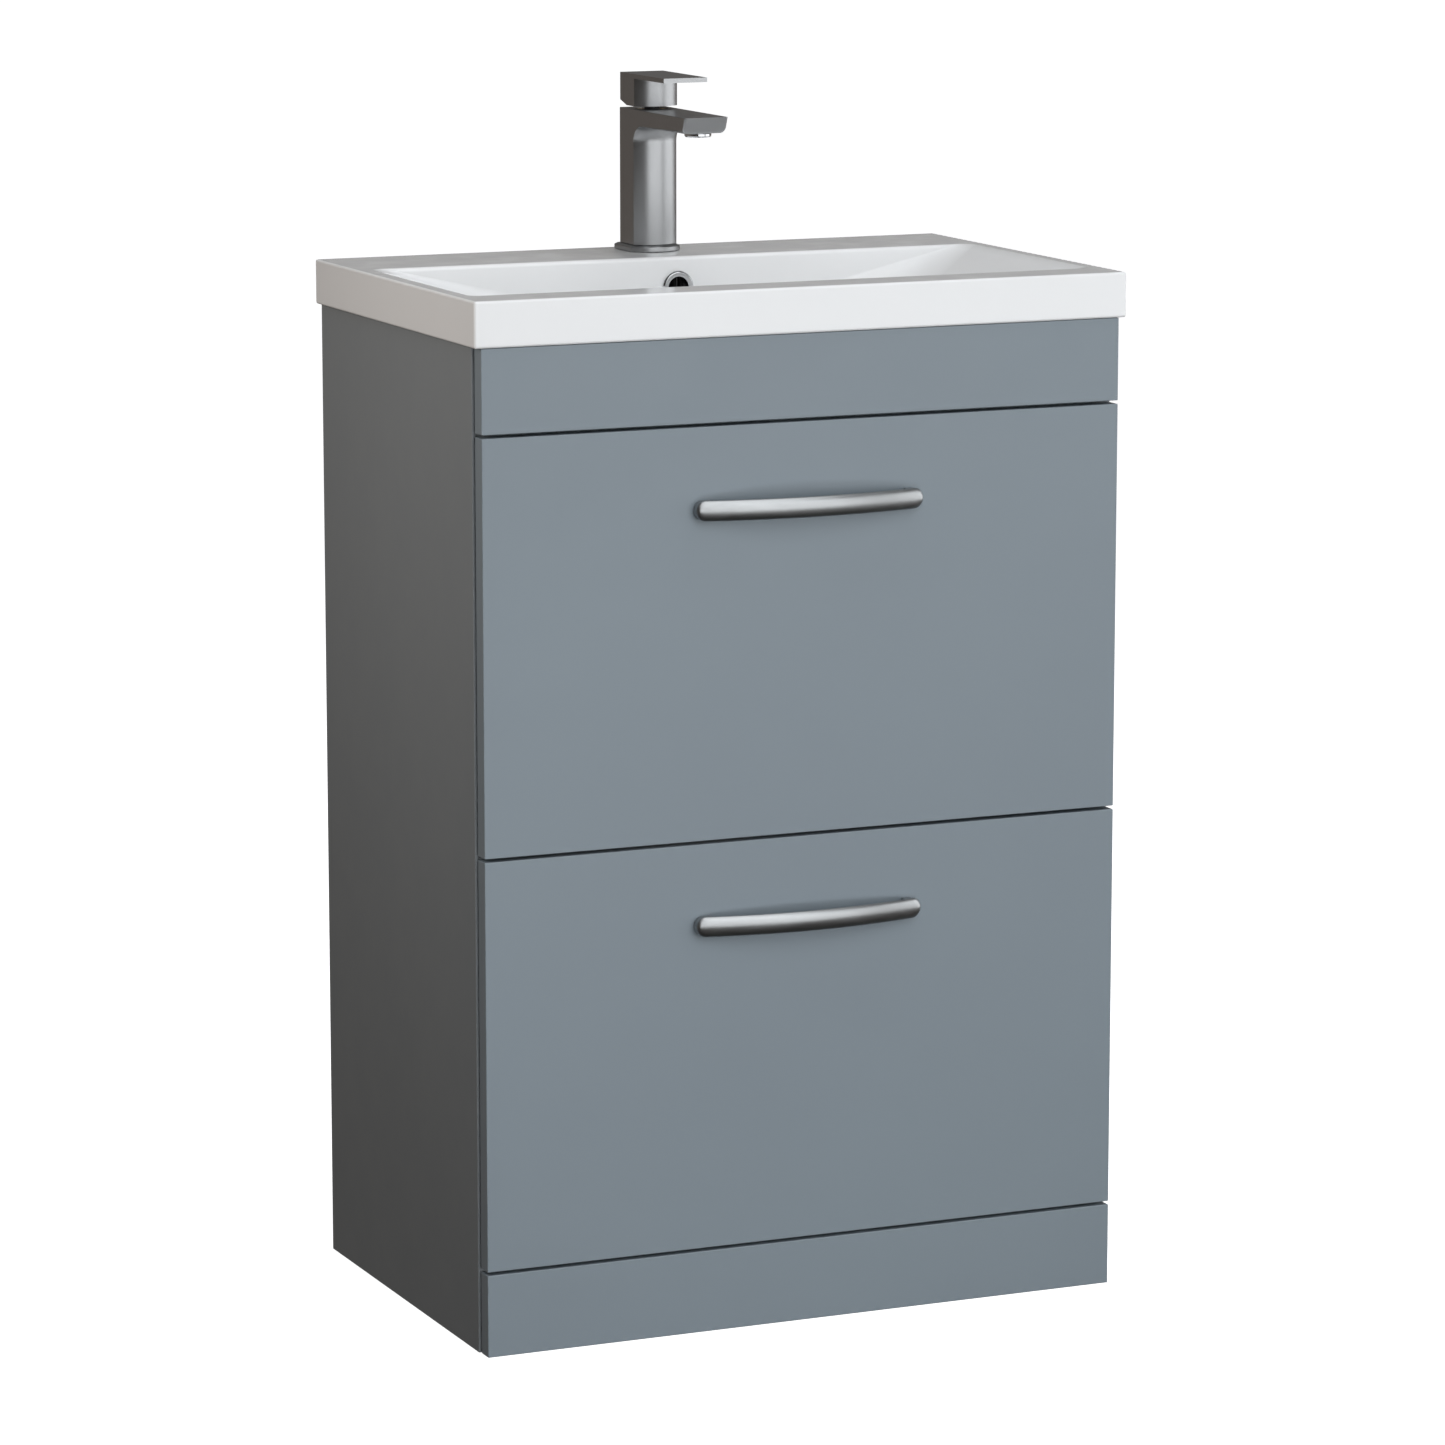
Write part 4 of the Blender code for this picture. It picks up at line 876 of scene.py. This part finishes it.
def tap_aerator():
    """The chrome insert under the spout: a collar with a wire mesh of rings and spokes inside."""
    low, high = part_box("tap_aerator")
    centre = (0.0, y_at(AERATOR_DEPTH), 0.0)
    neck, collar, mouth = AERATOR_SOCKET - CLEARANCE, 0.0120, 0.0090
    flange_top, sieve = SPOUT_BOTTOM - CLEARANCE, low.z + 0.0020
    profile = rounded([(neck, high.z), (neck, flange_top), (collar, flange_top), (collar, low.z + 0.0012),
                       (0.0111, low.z), (mouth, low.z), (mouth, sieve), (0.0, sieve)],
                      [0.0002, 0.0, 0.0005, 0.0005, 0.0005, 0.0003, 0.0, 0.0], 3, closed=False)
    body = turned([(0.0, high.z)] + profile, centre, 64)
    wire, wire_low, wire_high = 0.0006, low.z + 0.0008, low.z + 0.0022
    ribs = []
    for r in (0.002, 0.0042, 0.0064):
        section = [(r, wire_high), (r, wire_low), (r + wire, wire_low), (r + wire, wire_high)]
        ribs.append(turned(section, centre, 48, closed=True))
    spokes = [spun(block((-0.0089, -0.0002, low.z + 0.0010), (0.0089, 0.0002, wire_high), 0.0001, 1),
                   30.0 * k, centre) for k in range(6)]
    return stand_for("tap_aerator", joined(body, *ribs, *spokes), "chrome")


def tap_cartridge():
    """A stepped plastic body with three grooves round it."""
    low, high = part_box("tap_cartridge")
    axis = (0.0, y_at(TAP_AXIS), 0.0)
    neck, body, step = 0.0090, CARTRIDGE_HOLE - CLEARANCE, 1.0296
    side = rounded([(neck, high.z), (neck, step), (body, step), (body, low.z)],
                   [0.0004, 0.0004, 0.0006, 0.0006], 3, closed=False)
    grooves = []
    for z in (1.004, 1.012, 1.020):
        groove = [(0.0121, z), (0.0140, z), (0.0140, z + 0.0016), (0.0121, z + 0.0016)]
        grooves.append(turned(groove, axis, 64, closed=True))
    shape = cut(turned([(0.0, high.z), *side, (0.0, low.z)], axis, 64), *grooves)
    stand_for("tap_cartridge", shape, "plastic")


def tap_cartridge_nut():
    """A ring with six notches for its spanner."""
    low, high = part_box("tap_cartridge_nut")
    axis = (0.0, y_at(TAP_AXIS), 0.0)
    bore, outer = 0.0094, 0.0146
    ring = turned(rounded([(bore, high.z), (outer, high.z), (outer, low.z), (bore, low.z)], 0.0005, 3),
                  axis, 64, closed=True)
    notches = [spun(block((0.0132, -0.0016, low.z - 0.002), (0.0170, 0.0016, high.z + 0.002), 0.0003),
                    60.0 * k, axis) for k in range(6)]
    stand_for("tap_cartridge_nut", cut(ring, *notches), "brass")


def tap_rotor_and_stem():
    low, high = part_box("tap_rotor")
    radius = 0.0068
    rotor = rounded([(0.0, high.z), (radius, high.z), (radius, low.z), (0.0, low.z)],
                    [0.0, 0.0006, 0.0004, 0.0], 3, closed=False)
    stand_for("tap_rotor", turned(rotor, (0.0, y_at(TAP_AXIS), 0.0), 64), "plastic")
    low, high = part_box("tap_stem")
    stand_for("tap_stem", block(low, high, 0.0006), "brass")


def thread(radius, pitch, low, high, centre):
    """A turned bar with a row of thread crests."""
    profile = [(0.0, low), (radius - pitch / 2, low)]
    turns = int((high - low - 0.001) / pitch)
    for k in range(turns):
        base = low + 0.0005 + k * pitch
        profile += [(radius - 0.55 * pitch, base), (radius, base + pitch / 2)]
    profile += [(radius - pitch / 2, high), (0.0, high)]
    return turned(profile, centre, 32)


def tap_fixings():
    """The stud, the horseshoe washer and the nut that hold the tap from below."""
    low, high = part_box("tap_stud")
    stud_y, hole_y = y_at(STUD_DEPTH), y_at(TAP_HOLE)
    stand_for("tap_stud", thread(0.0038, 0.0010, low.z, high.z, (0, stud_y, 0)), "zinc", sharp=20.0)
    low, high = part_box("tap_washer")
    plate = prism(arc((0.0, hole_y), 0.0240, 0.0, 354.0, 59), low.z, high.z, flat, 0.0005)
    slot = block((-0.0085, hole_y - 0.030, low.z - 0.01), (0.0085, stud_y - 0.0052, high.z + 0.01), 0.001)
    hole = drill(STUD_HOLE, 0, stud_y, low.z - 0.01, high.z + 0.01, 32)
    stand_for("tap_washer", cut(plate, slot, hole), "zinc")
    low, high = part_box("tap_nut")
    nut = prism(arc((0.0, stud_y), 0.0075, 0.0, 300.0, 5), low.z, high.z, flat, 0.0006, 3)
    hole = drill(STUD_HOLE, 0, stud_y, low.z - 0.01, high.z + 0.01, 32)
    stand_for("tap_nut", cut(nut, hole), "brass")


# The runners, each of three nested channels with rows of balls between them

def channel(node, opens_inwards):
    """A bent sheet channel that opens towards the drawer or towards the side panel."""
    low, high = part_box(node)
    open_high = (low.x < 0) == opens_inwards
    web, lip = (low.x, high.x) if open_high else (high.x, low.x)
    turn = SHEET if open_high else -SHEET
    outline = [(web, low.z), (lip, low.z), (lip, low.z + SHEET), (web + turn, low.z + SHEET),
               (web + turn, high.z - SHEET), (lip, high.z - SHEET), (lip, high.z), (web, high.z)]
    outer, inner, lip_edge = 0.0018, 0.0006, 0.0003
    radii = [outer, lip_edge, lip_edge, inner, inner, lip_edge, lip_edge, outer]
    shape = prism(rounded(outline, radii, 4), low.y, high.y, from_front)
    middle = (low.z + high.z) / 2
    holes = [rod(0.0022, (web - 0.004, low.y + d, middle), (web + 0.004, low.y + d, middle), 24)
             for d in (0.020, 0.052, 0.148, 0.212, 0.308)]
    return stand_for(node, cut(shape, *holes), "zinc")


def ball(centre, radius):
    shape = bmesh.new()
    bmesh.ops.create_icosphere(shape, subdivisions=2, radius=radius, matrix=Matrix.Translation(centre))
    return shape


def ball_rows(level, hand):
    """Steel balls in their cages: on each side of the middle channel, above and below."""
    body = f"runner_middle_{level}_{hand}"
    outer_low, outer_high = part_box(f"runner_cabinet_{level}_{hand}")
    low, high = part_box(body)
    inner_low, inner_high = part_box(f"runner_drawer_{level}_{hand}")
    x = (low.x + high.x) / 2
    ball_x = x + math.copysign(0.0005, x)
    heights = ((outer_high.z - SHEET + high.z) / 2, (outer_low.z + SHEET + low.z) / 2,
               (high.z - SHEET + inner_high.z) / 2, (low.z + SHEET + inner_low.z) / 2)
    start = low.y + 0.010
    cage_start, cage_end = start - 0.005, start + (BALL_COUNT - 0.4) * BALL_PITCH
    balls, cages = [], []
    for z in heights:
        balls += [ball((ball_x, start + k * BALL_PITCH, z), BALL_RADIUS) for k in range(BALL_COUNT)]
        cages.append(block((x - 0.0030, cage_start, z - 0.0004),
                           (x + 0.0030, cage_end, z + 0.0004), 0.0002, 1))
    piece(f"runner_balls_{level}_{hand}", merged(balls), "chrome", body)
    piece(f"runner_cages_{level}_{hand}", merged(cages), "plastic", body)


def runners():
    for level in ("upper", "lower"):
        for hand in ("left", "right"):
            channel(f"runner_cabinet_{level}_{hand}", True)
            channel(f"runner_middle_{level}_{hand}", True)
            channel(f"runner_drawer_{level}_{hand}", False)
            ball_rows(level, hand)


# The cut-out drawer floor, its liner, and the small fittings

def cutout_parts():
    low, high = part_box("drawer_bottom_upper")
    liner_low, liner_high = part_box("service_liner")
    radius = liner_high.x + CLEARANCE
    centre_y = liner_low.y - CLEARANCE + radius
    apex = arc((0.0, centre_y), radius, 360.0, 180.0, 48)
    outline = [(low.x, low.y), (high.x, low.y), (high.x, high.y), (radius, high.y), *apex,
               (-radius, high.y), (low.x, high.y)]
    stand_for("drawer_bottom_upper", prism(outline, low.z, high.z, flat, 0.0005), "drawer_board")
    outer, sheet = liner_high.x, 0.004
    wall = [(-outer, liner_high.y)] + arc((0.0, centre_y), outer, 180.0, 360.0, 48) + [(outer, liner_high.y)]
    inner = outer - sheet
    wall += [(inner, liner_high.y)] + arc((0.0, centre_y), inner, 360.0, 180.0, 48) + [(-inner, liner_high.y)]
    stand_for("service_liner", prism(wall, liner_low.z, liner_high.z, flat, 0.0008), "plastic")


def brackets():
    """Bent angles with a slot for the wall screw, each held by two screws to its side panel."""
    sheet = 0.002
    for hand, side in (("left", -1), ("right", 1)):
        node = f"wall_bracket_{hand}"
        low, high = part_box(node)
        outer, tip = (low.x, high.x) if side < 0 else (high.x, low.x)
        inner = outer - side * sheet
        outline = [(outer, high.y), (outer, low.y), (inner, low.y), (inner, high.y - sheet),
                   (tip, high.y - sheet), (tip, high.y)]
        outline = rounded(outline, [0.0026, 0.0003, 0.0003, 0.0008, 0.0003, 0.0003], 4)
        angle = prism(outline, low.z, high.z, flat, 0.0004)
        middle = (low.z + high.z) / 2
        slot_x = outer - side * 0.016
        slot = block((slot_x - 0.0022, high.y - 0.01, middle - 0.010),
                     (slot_x + 0.0022, high.y + 0.01, middle + 0.010), 0.0021)
        stand_for(node, cut(angle, slot), "zinc")
        for k, rise in enumerate((-0.010, 0.010)):
            point = (inner, low.y + 0.011, middle + rise)
            screw_head(f"bracket_screw_{hand}_{k + 1}", point, (-side, 0, 0), "cabinet")


def plinth_blocks():
    """Moulded corner blocks, hollow towards the back."""
    wall = 0.006
    for hand in ("left", "right"):
        node = f"plinth_block_{hand}"
        low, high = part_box(node)
        recess = block((low.x + wall, (low.y + high.y) / 2, low.z + wall),
                       (high.x - wall, high.y + 0.01, high.z - wall), 0.0015)
        stand_for(node, cut(block(low, high, 0.002), recess), "plastic")


def screw_head(name, point, direction, body, radius=0.0038):
    """A domed screw head with a cross recess, standing on a surface at a point."""
    height = 0.55 * radius
    dome = [(0.0, height)]
    for k in range(1, 8):
        angle = math.pi / 2 * k / 8
        dome.append((radius * math.sin(angle), height * math.cos(angle) ** 0.6))
    dome += [(radius, 0.0002), (radius, 0.0), (0.0, 0.0)]
    long, short, recess = 0.55 * radius, 0.13 * radius, 0.35 * height
    bars = [block((-x, -y, recess), (x, y, 2 * height), 0.0001, 1) for x, y in ((long, short), (short, long))]
    shape = cut(turned(dome, (0, 0, 0), 40), *bars)
    turn = Vector((0, 0, 1)).rotation_difference(Vector(direction)).to_matrix().to_4x4()
    moved(shape, Matrix.Translation(point) @ turn @ Matrix.Rotation(math.radians(17.0), 4, "Z"))
    return piece(name, shape, "zinc", body, sharp=40.0)


def drawer_screws():
    """What holds each handle and front to the drawer box, seen from inside the drawer."""
    for level in ("upper", "lower"):
        low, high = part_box(f"drawer_inner_front_{level}")
        upper = min(middle_of(f"handle_{level}")[2], high.z - 0.020)
        for hand, side in (("left", -1), ("right", 1)):
            for k, z in enumerate((upper, low.z + 0.050)):
                screw_head(f"front_screw_{level}_{hand}_{k + 1}", (side * 0.150, high.y, z), (0, 1, 0),
                           f"drawer_{level}")


# The stage

def light(name, place, target, size, energy, color, mirrored=True, lighting=True):
    """A soft light panel. One that isn't mirrored only lights, and one without lighting is only mirrored."""
    lamp = bpy.data.lights.new(name, "AREA")
    lamp.shape = "RECTANGLE"
    lamp.size, lamp.size_y = size
    lamp.energy = energy
    lamp.color = color
    obj = placed(name, lamp, place)
    obj.rotation_euler = (Vector(target) - Vector(place)).to_track_quat("-Z", "Y").to_euler()
    obj.visible_glossy = mirrored
    obj.visible_diffuse = lighting
    return obj


def lights():
    front = (0, 0, 0.65)
    cool, warm = (0.965, 0.982, 1.0), (1.0, 0.93, 0.87)
    light("front_high", (0.10, -4.10, 3.90), front, (4.6, 2.6), 69.0, cool)
    light("softbox_front", (0.48, -2.77, 1.00), (0, 0, 1.00), (3.0, 2.0), 34.5, cool)
    light("overhead", (0.10, -1.20, 3.00), (0, -0.20, 0.70), (2.4, 1.3), 15.0, cool, lighting=False)
    light("softbox_right", (2.80, -1.07, 1.00), (0, 0, 1.00), (2.6, 2.0), 30.0, cool)
    light("front_low", (-0.34, -1.50, 0.15), (-0.18, -0.20, 0.20), (0.7, 0.3), 5.2, cool, mirrored=False)
    light("top_fill", (0.30, -0.30, 2.60), (0.15, 0.10, 0.90), (1.2, 0.9), 11.5, cool, mirrored=False)
    light("side_kicker", (-1.05, -0.10, 1.10), (-0.30, 0.0, 0.90), (0.5, 0.5), 3.3, warm, mirrored=False)
    light("rear_fill", (1.4, 2.6, 2.5), (0, 0, 0.5), (1.6, 1.6), 19.0, (1.0, 0.98, 0.96), mirrored=False)


def ramp_of_height(tree, height, stops):
    """Colours by how far up a direction looks: 0 is straight down and 1 straight up."""
    ramp = tree.nodes.new("ShaderNodeValToRGB")
    elements = ramp.color_ramp.elements
    while len(elements) < len(stops):
        elements.new(0.5)
    for element, (position, color) in zip(elements, stops):
        element.position = position
        element.color = (*color, 1.0)
    tree.links.new(height, ramp.inputs[0])
    background = tree.nodes.new("ShaderNodeBackground")
    tree.links.new(ramp.outputs[0], background.inputs["Color"])
    return background.outputs[0]


def world():
    """White behind the object, and a warm, darker room for what the surfaces see, darkest in front."""
    sky = bpy.data.worlds.new("studio")
    bpy.context.scene.world = sky
    sky.use_nodes = True
    tree = sky.node_tree
    tree.nodes.clear()
    place = tree.nodes.new("ShaderNodeTexCoord")
    split = tree.nodes.new("ShaderNodeSeparateXYZ")
    height = tree.nodes.new("ShaderNodeMapRange")
    height.inputs["From Min"].default_value = -1.0
    tree.links.new(place.outputs["Generated"], split.inputs[0])
    tree.links.new(split.outputs["Z"], height.inputs["Value"])
    around = ramp_of_height(tree, height.outputs[0], ROOM_LIGHT)
    mirrored = ramp_of_height(tree, height.outputs[0], ROOM_MIRRORED)
    behind = tree.nodes.new("ShaderNodeMapRange")
    for socket, value in (("From Min", -0.35), ("From Max", 0.25), ("To Min", 0.35), ("To Max", 1.0)):
        behind.inputs[socket].default_value = value
    tree.links.new(split.outputs["Y"], behind.inputs["Value"])
    tree.links.new(behind.outputs[0], mirrored.node.inputs["Strength"])
    seen = tree.nodes.new("ShaderNodeBackground")
    seen.inputs["Color"].default_value = (1.0, 1.0, 1.0, 1.0)
    path = tree.nodes.new("ShaderNodeLightPath")
    output = tree.nodes.new("ShaderNodeOutputWorld")
    for_gloss = tree.nodes.new("ShaderNodeMixShader")
    for_camera = tree.nodes.new("ShaderNodeMixShader")
    for mixer, factor, first, second in (
            (for_gloss, path.outputs["Is Glossy Ray"], around, mirrored),
            (for_camera, path.outputs["Is Camera Ray"], for_gloss.outputs[0], seen.outputs[0])):
        tree.links.new(factor, mixer.inputs[0])
        tree.links.new(first, mixer.inputs[1])
        tree.links.new(second, mixer.inputs[2])
    tree.links.new(for_camera.outputs[0], output.inputs[0])


def floor():
    """A plain pale floor that is seen, and takes shadows, but sends no light back."""
    shape = bmesh.new()
    bmesh.ops.create_grid(shape, x_segments=4, y_segments=4, size=30.0)
    mesh = mesh_of(shape, "floor")
    surface = Finish("floor", (0.90, 0.90, 0.90), 0.9).tint(0.6, 0.004)
    surface.shader.inputs["Emission Color"].default_value = (1.0, 1.0, 1.0, 1.0)
    surface.shader.inputs["Emission Strength"].default_value = 0.82
    mesh.materials.append(surface.material)
    obj = placed("floor", mesh, (0, 0, -0.0002))
    obj.visible_diffuse = False
    obj.visible_glossy = False


def camera():
    data = bpy.data.cameras.new("camera")
    data.lens = 146.02
    data.sensor_width = 36.0
    obj = placed("camera", data, (-2.0627, -4.7096, 1.4288))
    yaw, pitch = 23.66, 10.21
    obj.rotation_euler = (math.radians(90.0 - pitch), 0.0, math.radians(-yaw))
    bpy.context.scene.camera = obj
    bpy.context.scene.view_settings.view_transform = "Standard"


camera()
world()
lights()
floor()
boards()
for level_name in ("upper", "lower"):
    handle(f"handle_{level_name}")
basin()
overflow_ring()
waste_body()
waste_seal_and_nut()
waste_plug()
tap_body()
tap_base_plate()
tap_lever()
tap_aerator()
tap_cartridge()
tap_cartridge_nut()
tap_rotor_and_stem()
tap_fixings()
runners()
cutout_parts()
brackets()
plinth_blocks()
drawer_screws()
